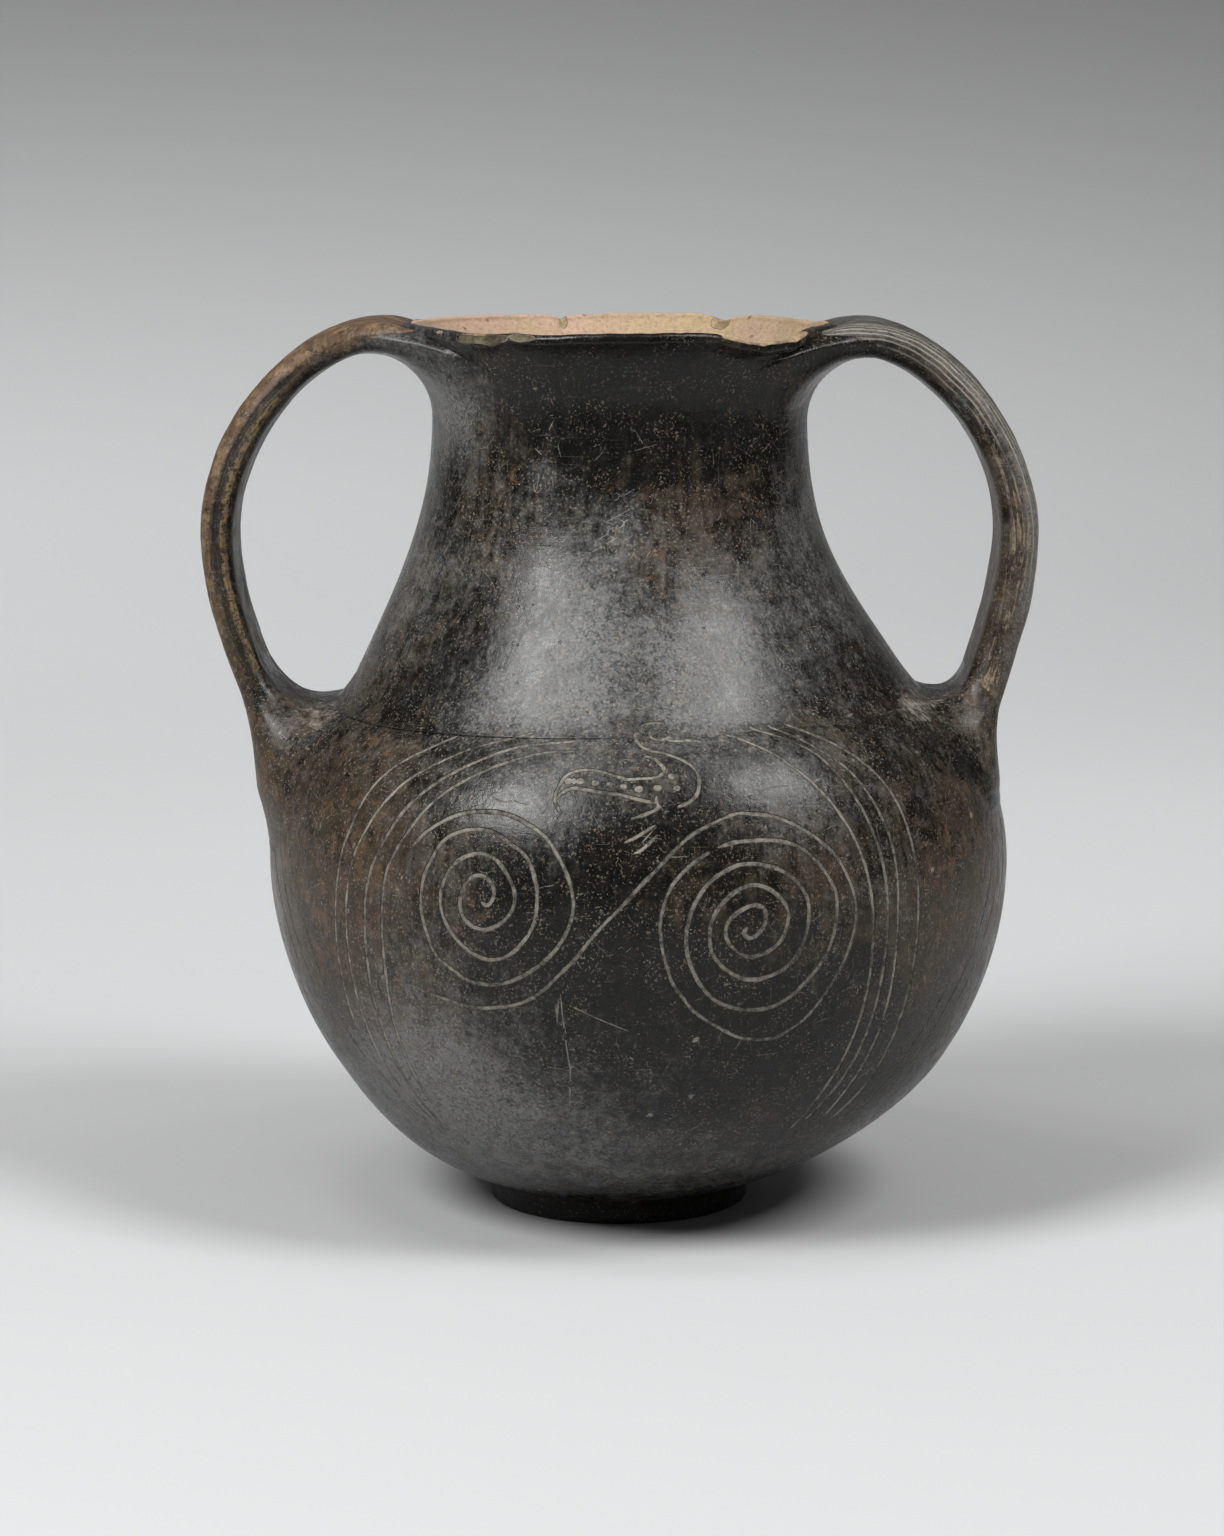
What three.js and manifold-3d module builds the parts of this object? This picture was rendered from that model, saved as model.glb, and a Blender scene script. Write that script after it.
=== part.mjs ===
// A small two-handled pottery amphora, hand-built in dark burnished clay.
// Millimetres, +Z up. X runs through both handles, and the origin is the middle of the foot's resting face.
import * as THREE from "three";
import { mergeVertices } from "three/addons/utils/BufferGeometryUtils.js";
import Module from "manifold-3d";

// Heights above the resting face
const footHeight = 4.8;
const bellyMiddleHeight = 59.6;
const neckSeatHeight = 87;
const rimHeight = 150;

// Outer radii of the turned vessel
const footRadius = 22.3;
const footSeatRadius = 24.2;
const bellyRadius = 62.9;
const neckSeatRadius = 49.6;
const neckBaseRadius = 48.8;
const throatRadius = 31.8;
const lipOverhang = 4.7;
const lipRise = 15;

// Walls
const footRecessRadius = 17;
const footRecessDepth = 0.8;
const footEdgeHeight = 2.8;
const footEdgeRound = 0.9;
const floorThickness = 4.6;
const bellyWall = 4.5;
const neckWall = 4;
const lipThickness = 2.4;
const lipFaceHeight = 1.4;
const lipEdgeRound = 0.7;
const collarHeight = 2.4;

// How long and how steep each stretch of the outline leaves its end points
const lowerBellyRun = 24.3;
const lowerBellySlope = THREE.MathUtils.degToRad(17.8);
const bellyFullnessBelow = 24.3;
const bellyFullnessAbove = 13;
const shoulderRun = 9;
const shoulderSlope = THREE.MathUtils.degToRad(30);
const neckBaseRise = 20;
const neckBaseTaper = 0.56;
const throatRun = 20;
const lipRun = 6;

// The hand-made lean: the axis drifts towards +X through the belly, and the neck's seat is tilted
const leanDistance = 3.3;
const leanStartHeight = 2;
const leanFullHeight = 26;
const leanEndHeight = 58;
const uprightRise = 31;
const seatTilt = 0.023;
const tiltDepth = 25;

// Strap handles
const handleSpan = 141;
const handleRise = 1.6;
const handleRootDrop = 11;
const handleWidestRise = 0.7;
const strapWidth = 21;
const strapRimWidth = 34;
const strapRootWidth = 27;
const strapFlareRun = 17.5;
const strapRootRun = 20;
const strapArchInset = 2;
const strapStartInset = 14;
const strapStartDrop = 3.5;
const handles = [
  { name: "left", side: -1, thickness: 6.4, rootInset: 1.6, rootSplay: 6 },
  { name: "right", side: 1, thickness: 7.3, rootInset: 4, rootSplay: 2.5 },
];

// Shares that only shape the strap's curves
const strapArchEase = 0.49;
const strapElbowEase = 0.5;
const strapFallEase = 0.33;
const strapFullness = 0.68;

// Luting clay: the webs smeared into the corners where the straps join the vessel
const rimWebRadius = 8.8;
const rimWebReach = 3.7;
const rimWebWidth = 28;
const rimWebHeight = 20;
const rootPadReach = 8;
const rootPadWidth = 31;
const rootPadHeight = 18;
const rootPadRise = 4;
const rootPadInset = 2.6;

// Space kept between pieces that are cut to each other
const clearance = 0.3;

const roundSegments = 44;
const strapSteps = 30;

const lipRadius = throatRadius + lipOverhang;
const throatHeight = rimHeight - lipRise;
const neckBaseInnerRadius = neckBaseRadius - neckWall;
const handleTopHeight = rimHeight + handleRise;
const handleRootHeight = neckSeatHeight - handleRootDrop;
const handleWidestHeight = (handleTopHeight + handleRootHeight) / 2 + handleWidestRise;
const uprightHeight = neckSeatHeight + uprightRise;
const tiltStartHeight = neckSeatHeight - tiltDepth;

const wasm = await Module();
wasm.setup();

// Outlines of the outside, as curves of radius and height that climb from bottom to top

function bezier(...points) {
  return new THREE.CubicBezierCurve(...points.map(([radius, height]) => new THREE.Vector2(radius, height)));
}

const lowerBelly = bezier(
  [footSeatRadius, footHeight],
  [
    footSeatRadius + lowerBellyRun * Math.cos(lowerBellySlope),
    footHeight + lowerBellyRun * Math.sin(lowerBellySlope),
  ],
  [bellyRadius, bellyMiddleHeight - bellyFullnessBelow],
  [bellyRadius, bellyMiddleHeight],
);
const upperBelly = bezier(
  [bellyRadius, bellyMiddleHeight],
  [bellyRadius, bellyMiddleHeight + bellyFullnessAbove],
  [
    neckSeatRadius + shoulderRun * Math.cos(shoulderSlope),
    neckSeatHeight - shoulderRun * Math.sin(shoulderSlope),
  ],
  [neckSeatRadius, neckSeatHeight],
);
const neckSide = bezier(
  [neckBaseRadius, neckSeatHeight],
  [neckBaseRadius - neckBaseTaper * neckBaseRise, neckSeatHeight + neckBaseRise],
  [throatRadius, throatHeight - throatRun],
  [throatRadius, throatHeight],
);
const lipFlare = bezier(
  [throatRadius, throatHeight],
  [throatRadius, throatHeight + lipRun],
  [lipRadius - lipThickness, rimHeight - lipFaceHeight - lipThickness],
  [lipRadius, rimHeight - lipFaceHeight],
);
const neckBore = bezier(
  [neckBaseInnerRadius, neckSeatHeight],
  [neckBaseInnerRadius - neckBaseTaper * neckBaseRise, neckSeatHeight + neckBaseRise],
  [throatRadius - neckWall, throatHeight - throatRun],
  [throatRadius - neckWall, throatHeight],
);
const mouthBore = bezier(
  [throatRadius - neckWall, throatHeight],
  [throatRadius - neckWall, throatHeight + lipRun],
  [lipRadius - 2 * lipThickness, rimHeight - lipFaceHeight - lipThickness],
  [lipRadius - lipThickness, rimHeight - lipEdgeRound],
);

// Points along a climbing outline, moved outwards by a distance; a negative distance goes into the wall.
function offsetPoints(curve, divisions, distance) {
  const points = [];
  for (let i = 0; i <= divisions; i++) {
    const tangent = curve.getTangent(i / divisions);
    const outward = new THREE.Vector2(tangent.y, -tangent.x);
    points.push(curve.getPoint(i / divisions).addScaledVector(outward, distance));
  }
  return points;
}

// A quarter round of an edge, turning anticlockwise from the start angle.
function quarterRound(centreRadius, centreHeight, size, startAngle) {
  const endAngle = startAngle + Math.PI / 2;
  const round = new THREE.EllipseCurve(centreRadius, centreHeight, size, size, startAngle, endAngle);
  return round.getPoints(3);
}

// The outside radius of the belly at a height, read off the outline.
function bellyRadiusAt(height) {
  const points = [...lowerBelly.getPoints(60), ...upperBelly.getPoints(60)];
  const above = points.findIndex((p) => p.y >= height);
  const low = points[above - 1];
  const high = points[above];
  return THREE.MathUtils.mapLinear(height, low.y, high.y, low.x, high.x);
}

function leanAt(height) {
  const rise = THREE.MathUtils.smoothstep(height, leanStartHeight, leanFullHeight);
  const fall = THREE.MathUtils.smoothstep(height, leanEndHeight, uprightHeight);
  return leanDistance * rise * (1 - fall);
}

// How much of the seat's tilt a height takes: all of it at the seat, none at the belly's middle or throat.
function tiltShareAt(height) {
  return height < neckSeatHeight
    ? THREE.MathUtils.smoothstep(height, tiltStartHeight, neckSeatHeight)
    : 1 - THREE.MathUtils.smoothstep(height, neckSeatHeight, uprightHeight);
}

// Moves every vertex of a turned form by the vessel's lean and tilt.
function lean(geometry) {
  const position = geometry.getAttribute("position");
  for (let i = 0; i < position.count; i++) {
    const height = position.getZ(i);
    const x = position.getX(i);
    position.setX(i, x + leanAt(height));
    position.setZ(i, height + seatTilt * x * tiltShareAt(height));
  }
  return geometry;
}

// A closed outline of radius and height points, turned about the vertical axis and leaned with the vessel.
function turned(points) {
  const outline = points.map((p) => (p.isVector2 ? p : new THREE.Vector2(...p)));
  return lean(new THREE.LatheGeometry(outline, roundSegments).rotateX(Math.PI / 2));
}

// Booleans

function solid(geometry) {
  const bare = geometry.index ? geometry.toNonIndexed() : geometry.clone();
  bare.deleteAttribute("normal");
  bare.deleteAttribute("uv");
  const merged = mergeVertices(bare, 1e-3);
  return new wasm.Manifold(
    new wasm.Mesh({
      numProp: 3,
      vertProperties: new Float32Array(merged.getAttribute("position").array),
      triVerts: new Uint32Array(merged.index.array),
    }),
  );
}

// The geometry of a solid's largest body: crumbs that a cut leaves behind are dropped.
function largestBody(cut) {
  const bodies = cut.decompose().sort((a, b) => b.volume() - a.volume());
  const { numProp, vertProperties, triVerts } = bodies[0].getMesh();
  const position = new Float32Array((vertProperties.length / numProp) * 3);
  for (let i = 0; i < position.length / 3; i++) {
    position.set(vertProperties.subarray(i * numProp, i * numProp + 3), i * 3);
  }
  const geometry = new THREE.BufferGeometry();
  geometry.setAttribute("position", new THREE.BufferAttribute(position, 3));
  geometry.setIndex(new THREE.BufferAttribute(triVerts, 1));
  geometry.computeVertexNormals();
  return geometry;
}

// Foot: a low disc with a hollowed underside, so that it rests on a flat ring
function footGeometry() {
  return turned([
    [0, footRecessDepth],
    [footRecessRadius - footRecessDepth, footRecessDepth],
    [footRecessRadius, 0],
    ...quarterRound(footRadius - footEdgeRound, footEdgeRound, footEdgeRound, -Math.PI / 2),
    [footRadius, footEdgeHeight],
    [footSeatRadius, footHeight],
    [0, footHeight],
  ]);
}

// Belly: a hollow bowl with a rounded shoulder and an inner collar that carries the neck
function bellyGeometry() {
  const insideShoulder = offsetPoints(upperBelly, 6, -bellyWall)
    .reverse()
    .filter((p) => p.x > neckBaseInnerRadius && p.y < neckSeatHeight - collarHeight);
  return turned([
    [0, footHeight],
    ...lowerBelly.getPoints(11),
    ...upperBelly.getPoints(8).slice(1),
    [neckBaseInnerRadius, neckSeatHeight],
    [neckBaseInnerRadius, neckSeatHeight - collarHeight],
    ...insideShoulder,
    ...offsetPoints(lowerBelly, 8, -bellyWall).reverse().slice(1),
    [0, footHeight + floorThickness],
  ]);
}

// Neck: a tall concave collar with a thin turned-out lip, seated on the shoulder with a small clearance
function neckGeometry() {
  const onSeat = ([first, ...rest]) => [new THREE.Vector2(first.x, first.y + clearance), ...rest];
  const outside = onSeat(neckSide.getPoints(10));
  const edgeHeight = rimHeight - lipEdgeRound;
  return turned([
    ...outside,
    ...lipFlare.getPoints(5).slice(1),
    ...quarterRound(lipRadius - lipEdgeRound, edgeHeight, lipEdgeRound, 0),
    ...quarterRound(lipRadius - lipThickness + lipEdgeRound, edgeHeight, lipEdgeRound, Math.PI / 2),
    ...mouthBore.getPoints(5).reverse().slice(1),
    ...onSeat(neckBore.getPoints(8)).reverse().slice(1),
    outside[0],
  ]);
}

// The filled outside of the whole vessel, grown by the clearance: the straps and the clay are cut back to it
function vesselEnvelope() {
  return solid(
    turned([
      [0, footHeight - clearance],
      ...offsetPoints(lowerBelly, 22, clearance),
      ...offsetPoints(upperBelly, 16, clearance).slice(1),
      ...offsetPoints(neckSide, 20, clearance),
      ...offsetPoints(lipFlare, 10, clearance).slice(1),
      [lipRadius + clearance, rimHeight - lipFaceHeight],
      [lipRadius + clearance, handleTopHeight + lipOverhang],
      [0, handleTopHeight + lipOverhang],
    ]),
  );
}

// The strap's middle line: up out of the lip, over a low arch, down the outside and into the shoulder.
function strapPath({ side, thickness, rootInset, rootSplay }) {
  const point = (x, z) => new THREE.Vector3(side * x, 0, z);
  const archX = lipRadius + strapArchInset;
  const archZ = handleTopHeight - thickness / 2;
  const widestX = (handleSpan - thickness) / 2;
  const rootX = bellyRadiusAt(handleRootHeight) - rootInset + side * leanAt(handleRootHeight);
  const outwards = strapArchEase * (widestX - archX);
  const upwards = strapElbowEase * (archZ - handleWidestHeight);
  const downwards = strapFallEase * (handleWidestHeight - handleRootHeight);
  const path = new THREE.CurvePath();
  path.add(
    new THREE.QuadraticBezierCurve3(
      point(archX - strapStartInset, archZ - strapStartDrop),
      point(archX - strapStartInset / 3, archZ),
      point(archX, archZ),
    ),
  );
  path.add(
    new THREE.CubicBezierCurve3(
      point(archX, archZ),
      point(archX + outwards, archZ),
      point(widestX, handleWidestHeight + upwards),
      point(widestX, handleWidestHeight),
    ),
  );
  path.add(
    new THREE.CubicBezierCurve3(
      point(widestX, handleWidestHeight),
      point(widestX, handleWidestHeight - downwards),
      point(rootX + rootSplay, handleRootHeight + downwards),
      point(rootX, handleRootHeight),
    ),
  );
  return path;
}

// A strap's cross-section: a flattened oval, fuller than an ellipse.
function strapSection(width, thickness) {
  const halfWidth = width / 2;
  const halfThickness = thickness / 2;
  const section = new THREE.Shape().moveTo(halfWidth, 0);
  const quarters = [
    [1, 0, 0, 1],
    [0, 1, -1, 0],
    [-1, 0, 0, -1],
    [0, -1, 1, 0],
  ];
  for (const [fromX, fromY, toX, toY] of quarters) {
    section.bezierCurveTo(
      halfWidth * (fromX + strapFullness * toX),
      halfThickness * (fromY + strapFullness * toY),
      halfWidth * (toX + strapFullness * fromX),
      halfThickness * (toY + strapFullness * fromY),
      halfWidth * toX,
      halfThickness * toY,
    );
  }
  return section;
}

// A strap widens where it joins the lip and where it joins the shoulder.
function strapWidthAt(x, z) {
  const atRim = 1 - THREE.MathUtils.smoothstep(Math.abs(x), lipRadius, lipRadius + strapFlareRun);
  const atRoot = 1 - THREE.MathUtils.smoothstep(z, handleRootHeight, handleRootHeight + strapRootRun);
  return strapWidth + atRim * (strapRimWidth - strapWidth) + atRoot * (strapRootWidth - strapWidth);
}

// A whole strap before it is cut back to the vessel, grown all round by a distance.
function strapGeometry(handle, growth = 0) {
  const width = strapWidth + 2 * growth;
  const geometry = new THREE.ExtrudeGeometry(strapSection(width, handle.thickness + 2 * growth), {
    steps: strapSteps,
    curveSegments: 4,
    extrudePath: strapPath(handle),
  });
  const position = geometry.getAttribute("position");
  for (let i = 0; i < position.count; i++) {
    const wide = strapWidthAt(position.getX(i), position.getZ(i)) + 2 * growth;
    position.setY(i, position.getY(i) * (wide / width));
  }
  return geometry;
}

// Handle: a strap that ends a clearance away from the lip, the neck and the shoulder
function handleGeometry(handle, envelope) {
  return largestBody(solid(strapGeometry(handle)).subtract(envelope));
}

// Rim web: clay smeared under the arch of a strap and down the neck, with a round hollow for the finger
function rimWebGeometry(handle, envelope, roomForStrap) {
  const centreRadius = lipRadius + rimWebReach;
  const underside = handleTopHeight - handle.thickness;
  const hollow = new THREE.EllipseCurve(
    centreRadius,
    underside - clearance - rimWebRadius,
    rimWebRadius,
    rimWebRadius,
    Math.PI,
    Math.PI / 2,
    true,
  ).getPoints(8);
  const insideWall = throatRadius - neckWall / 2;
  const ring = turned([
    [insideWall, hollow[0].y],
    ...hollow,
    [centreRadius, underside + clearance],
    [insideWall, underside + clearance],
    [insideWall, hollow[0].y],
  ]);
  const outline = new THREE.Shape();
  outline.absellipse(0, underside, rimWebWidth / 2, rimWebHeight / 2, 0, 2 * Math.PI);
  const reach = { depth: handleSpan / 2, curveSegments: 10, bevelEnabled: false };
  const lens = new THREE.ExtrudeGeometry(outline, reach)
    .rotateX(Math.PI / 2)
    .rotateZ((handle.side * Math.PI) / 2);
  return largestBody(solid(ring).intersect(solid(lens)).subtract(envelope).subtract(roomForStrap));
}

// Root pad: a mound of clay pressed round a strap's lower end, on the shoulder
function rootPadGeometry(handle, envelope, roomForStrap) {
  const height = handleRootHeight + rootPadRise;
  const shoulder = handle.side * (bellyRadiusAt(height) - rootPadInset) + leanAt(height);
  const mound = new THREE.SphereGeometry(1, 26, 16)
    .rotateX(Math.PI / 2)
    .scale(rootPadReach, rootPadWidth / 2, rootPadHeight / 2)
    .translate(shoulder, 0, height);
  return largestBody(solid(mound).subtract(envelope).subtract(roomForStrap));
}

const darkClay = { color: 0x35302b, roughness: 0.5, metalness: 0 };
const brownClay = { color: 0x4a3a2e, roughness: 0.58, metalness: 0 };
const smearedClay = { color: 0x5a4c3f, roughness: 0.7, metalness: 0 };

function piece(name, geometry, finish) {
  const mesh = new THREE.Mesh(geometry, new THREE.MeshStandardMaterial(finish));
  mesh.name = name;
  return mesh;
}

const amphora = new THREE.Group();
amphora.name = "amphora";
amphora.add(
  piece("foot", footGeometry(), darkClay),
  piece("belly", bellyGeometry(), darkClay),
  piece("neck", neckGeometry(), darkClay),
);

const envelope = vesselEnvelope();
for (const handle of handles) {
  const roomForStrap = solid(strapGeometry(handle, clearance));
  amphora.add(
    piece(`${handle.name}_handle`, handleGeometry(handle, envelope), brownClay),
    piece(`${handle.name}_rim_web`, rimWebGeometry(handle, envelope, roomForStrap), smearedClay),
    piece(`${handle.name}_root_pad`, rootPadGeometry(handle, envelope, roomForStrap), smearedClay),
  );
}

export default amphora;
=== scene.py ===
import bpy
import numpy as np
import openvdb
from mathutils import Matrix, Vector
from mathutils.kdtree import KDTree


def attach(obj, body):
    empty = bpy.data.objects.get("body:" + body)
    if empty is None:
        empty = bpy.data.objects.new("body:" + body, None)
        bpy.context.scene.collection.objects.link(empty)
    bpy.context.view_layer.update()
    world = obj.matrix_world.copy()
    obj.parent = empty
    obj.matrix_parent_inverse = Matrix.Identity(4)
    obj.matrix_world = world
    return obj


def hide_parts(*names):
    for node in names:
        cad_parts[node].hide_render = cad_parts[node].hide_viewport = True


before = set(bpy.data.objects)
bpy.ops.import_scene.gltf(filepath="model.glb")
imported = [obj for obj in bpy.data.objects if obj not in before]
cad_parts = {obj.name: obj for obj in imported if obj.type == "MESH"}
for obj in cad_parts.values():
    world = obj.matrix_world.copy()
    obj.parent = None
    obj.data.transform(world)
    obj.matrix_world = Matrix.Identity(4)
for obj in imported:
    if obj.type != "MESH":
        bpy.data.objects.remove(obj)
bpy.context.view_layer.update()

# Lengths are millimetres until a mesh, a lamp or the camera is made.
MM = 0.001

# Heights and radii of the vessel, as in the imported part
FOOT_HEIGHT = 4.8
BELLY_MIDDLE_HEIGHT = 59.6
NECK_SEAT_HEIGHT = 87.0
RIM_HEIGHT = 150.0
THROAT_HEIGHT = RIM_HEIGHT - 15
FOOT_RADIUS = 22.3
FOOT_SEAT_RADIUS = 24.2
BELLY_RADIUS = 62.9
NECK_SEAT_RADIUS = 49.6
NECK_BASE_RADIUS = 48.8
THROAT_RADIUS = 31.8
LIP_RADIUS = THROAT_RADIUS + 4.7
BELLY_WALL = 4.5
NECK_WALL = 4.0
LIP_THICKNESS = 2.4
LIP_FACE = 1.4
LEAN_DISTANCE = 3.3
SEAT_TILT = 0.023

# Guessed sizes out of sight, and the small roundings of foot and lip
FOOT_HOLLOW = 0.8
FOOT_EDGE = 1.05
COLLAR_RADIUS = NECK_BASE_RADIUS - NECK_WALL
LIP_EDGE = 0.75
LIP_INNER_EDGE = 0.7

# Strap handles
HANDLE_SPAN = 141.0
HANDLE_TOP_HEIGHT = RIM_HEIGHT + 1.6
HANDLE_ROOT_HEIGHT = NECK_SEAT_HEIGHT - 11
HANDLE_WIDEST_HEIGHT = (HANDLE_TOP_HEIGHT + HANDLE_ROOT_HEIGHT) / 2 + 0.7
STRAP_WIDTH = 21.0
STRAP_RIM_WIDTH = 34.0
STRAP_ROOT_WIDTH = 27.0
RIM_SPREAD = 17.5
ROOT_SPREAD = 20.0
HANDLES = {
    "left": {"side": -1, "thickness": 6.4, "root_inset": 1.6, "root_splay": 6.0},
    "right": {"side": 1, "thickness": 7.3, "root_inset": 4.0, "root_splay": 2.5},
}


def smooth(value, low, high):
    t = np.clip((np.asarray(value, float) - low) / (high - low), 0, 1)
    return t * t * (3 - 2 * t)


def bezier(*points, count=160):
    """A quadratic or cubic curve as rows of two coordinates."""
    t = np.linspace(0, 1, count)[:, None]
    level = [np.array(p, float)[None, :] * np.ones_like(t) for p in points]
    while len(level) > 1:
        level = [a * (1 - t) + b * t for a, b in zip(level, level[1:])]
    return level[0]


def outward_offset(curve, distance):
    """A climbing outline moved outwards; a negative distance goes into the wall."""
    run = np.gradient(curve, axis=0)
    run /= np.linalg.norm(run, axis=1)[:, None]
    return curve + np.stack([run[:, 1], -run[:, 0]], 1) * distance


def resampled(curve, spacing):
    """Points along a polyline at about one spacing, both ends kept."""
    step = np.linalg.norm(np.diff(curve, axis=0), axis=1)
    along = np.concatenate([[0], np.cumsum(step)])
    count = max(2, int(round(along[-1] / spacing)) + 1)
    at = np.linspace(0, along[-1], count)
    return np.stack([np.interp(at, along, curve[:, i]) for i in range(curve.shape[1])], 1)


def joined(*runs):
    """Runs of points one after another, without doubled points."""
    points = [np.asarray(runs[0], float)]
    for run in runs[1:]:
        run = np.asarray(run, float)
        if np.linalg.norm(run[0] - points[-1][-1]) < 1e-6:
            run = run[1:]
        points.append(run)
    return np.concatenate(points)


SLOPE = np.radians(17.8)
SHOULDER = np.radians(30)
LOWER_BELLY = bezier(
    (FOOT_SEAT_RADIUS, FOOT_HEIGHT),
    (FOOT_SEAT_RADIUS + 24.3 * np.cos(SLOPE), FOOT_HEIGHT + 24.3 * np.sin(SLOPE)),
    (BELLY_RADIUS, BELLY_MIDDLE_HEIGHT - 24.3),
    (BELLY_RADIUS, BELLY_MIDDLE_HEIGHT),
)
UPPER_BELLY = bezier(
    (BELLY_RADIUS, BELLY_MIDDLE_HEIGHT),
    (BELLY_RADIUS, BELLY_MIDDLE_HEIGHT + 13),
    (NECK_SEAT_RADIUS + 9 * np.cos(SHOULDER), NECK_SEAT_HEIGHT - 9 * np.sin(SHOULDER)),
    (NECK_SEAT_RADIUS, NECK_SEAT_HEIGHT),
)
NECK_SIDE = bezier(
    (NECK_BASE_RADIUS, NECK_SEAT_HEIGHT),
    (NECK_BASE_RADIUS - 0.56 * 20, NECK_SEAT_HEIGHT + 20),
    (THROAT_RADIUS, THROAT_HEIGHT - 20),
    (THROAT_RADIUS, THROAT_HEIGHT),
)
LIP_FLARE = bezier(
    (THROAT_RADIUS, THROAT_HEIGHT),
    (THROAT_RADIUS, THROAT_HEIGHT + 6),
    (LIP_RADIUS - LIP_THICKNESS, RIM_HEIGHT - LIP_FACE - LIP_THICKNESS),
    (LIP_RADIUS, RIM_HEIGHT - LIP_FACE),
)
NECK_BORE = bezier(
    (NECK_BASE_RADIUS - NECK_WALL, NECK_SEAT_HEIGHT),
    (NECK_BASE_RADIUS - NECK_WALL - 0.56 * 20, NECK_SEAT_HEIGHT + 20),
    (THROAT_RADIUS - NECK_WALL, THROAT_HEIGHT - 20),
    (THROAT_RADIUS - NECK_WALL, THROAT_HEIGHT),
)
MOUTH_BORE = bezier(
    (THROAT_RADIUS - NECK_WALL, THROAT_HEIGHT),
    (THROAT_RADIUS - NECK_WALL, THROAT_HEIGHT + 6),
    (LIP_RADIUS - 2 * LIP_THICKNESS, RIM_HEIGHT - LIP_FACE - LIP_THICKNESS),
    (LIP_RADIUS - LIP_THICKNESS, RIM_HEIGHT - LIP_INNER_EDGE),
)
OUTLINE = joined(LOWER_BELLY, UPPER_BELLY, NECK_SIDE[1:], LIP_FLARE)


def outside_radius(height):
    return np.interp(height, OUTLINE[:, 1], OUTLINE[:, 0])


def lean_at(height):
    return LEAN_DISTANCE * smooth(height, 2, 26) * (1 - smooth(height, 58, NECK_SEAT_HEIGHT + 31))


def tilt_share(height):
    below = smooth(height, NECK_SEAT_HEIGHT - 25, NECK_SEAT_HEIGHT)
    above = 1 - smooth(height, NECK_SEAT_HEIGHT, NECK_SEAT_HEIGHT + 31)
    return np.where(np.asarray(height) < NECK_SEAT_HEIGHT, below, above)


def turned(radius, azimuth, height):
    """Points of the leaned vessel. The azimuth is in radians from the front, -Y, towards +X."""
    x = radius * np.sin(azimuth)
    y = -radius * np.cos(azimuth)
    z = height + SEAT_TILT * x * tilt_share(height)
    return np.stack(np.broadcast_arrays(x + lean_at(height), y, z), -1)


def on_vessel(places):
    """Points on the outside, from rows of azimuth in degrees and height."""
    places = np.asarray(places, float)
    return turned(outside_radius(places[:, 1]), np.radians(places[:, 0]), places[:, 1])


LATTICE = np.random.default_rng(7).uniform(-1, 1, (6, 24, 24, 24))


def unevenness(points, size, layer=0):
    """Soft noise from -1 to 1 with features about as large as the size."""
    lattice = LATTICE[layer]
    p = np.asarray(points, float) / size + 100.37
    low = np.floor(p).astype(int)
    t = p - low
    t = t * t * (3 - 2 * t)
    total = 0
    for corner in np.ndindex(2, 2, 2):
        weight = np.prod(np.where(np.array(corner) == 1, t, 1 - t), axis=-1)
        i, j, k = np.moveaxis((low + corner) % 24, -1, 0)
        total = total + weight * lattice[i, j, k]
    return total


# Ornament, as rows of azimuth in degrees and height, read off the front of the vessel

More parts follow.
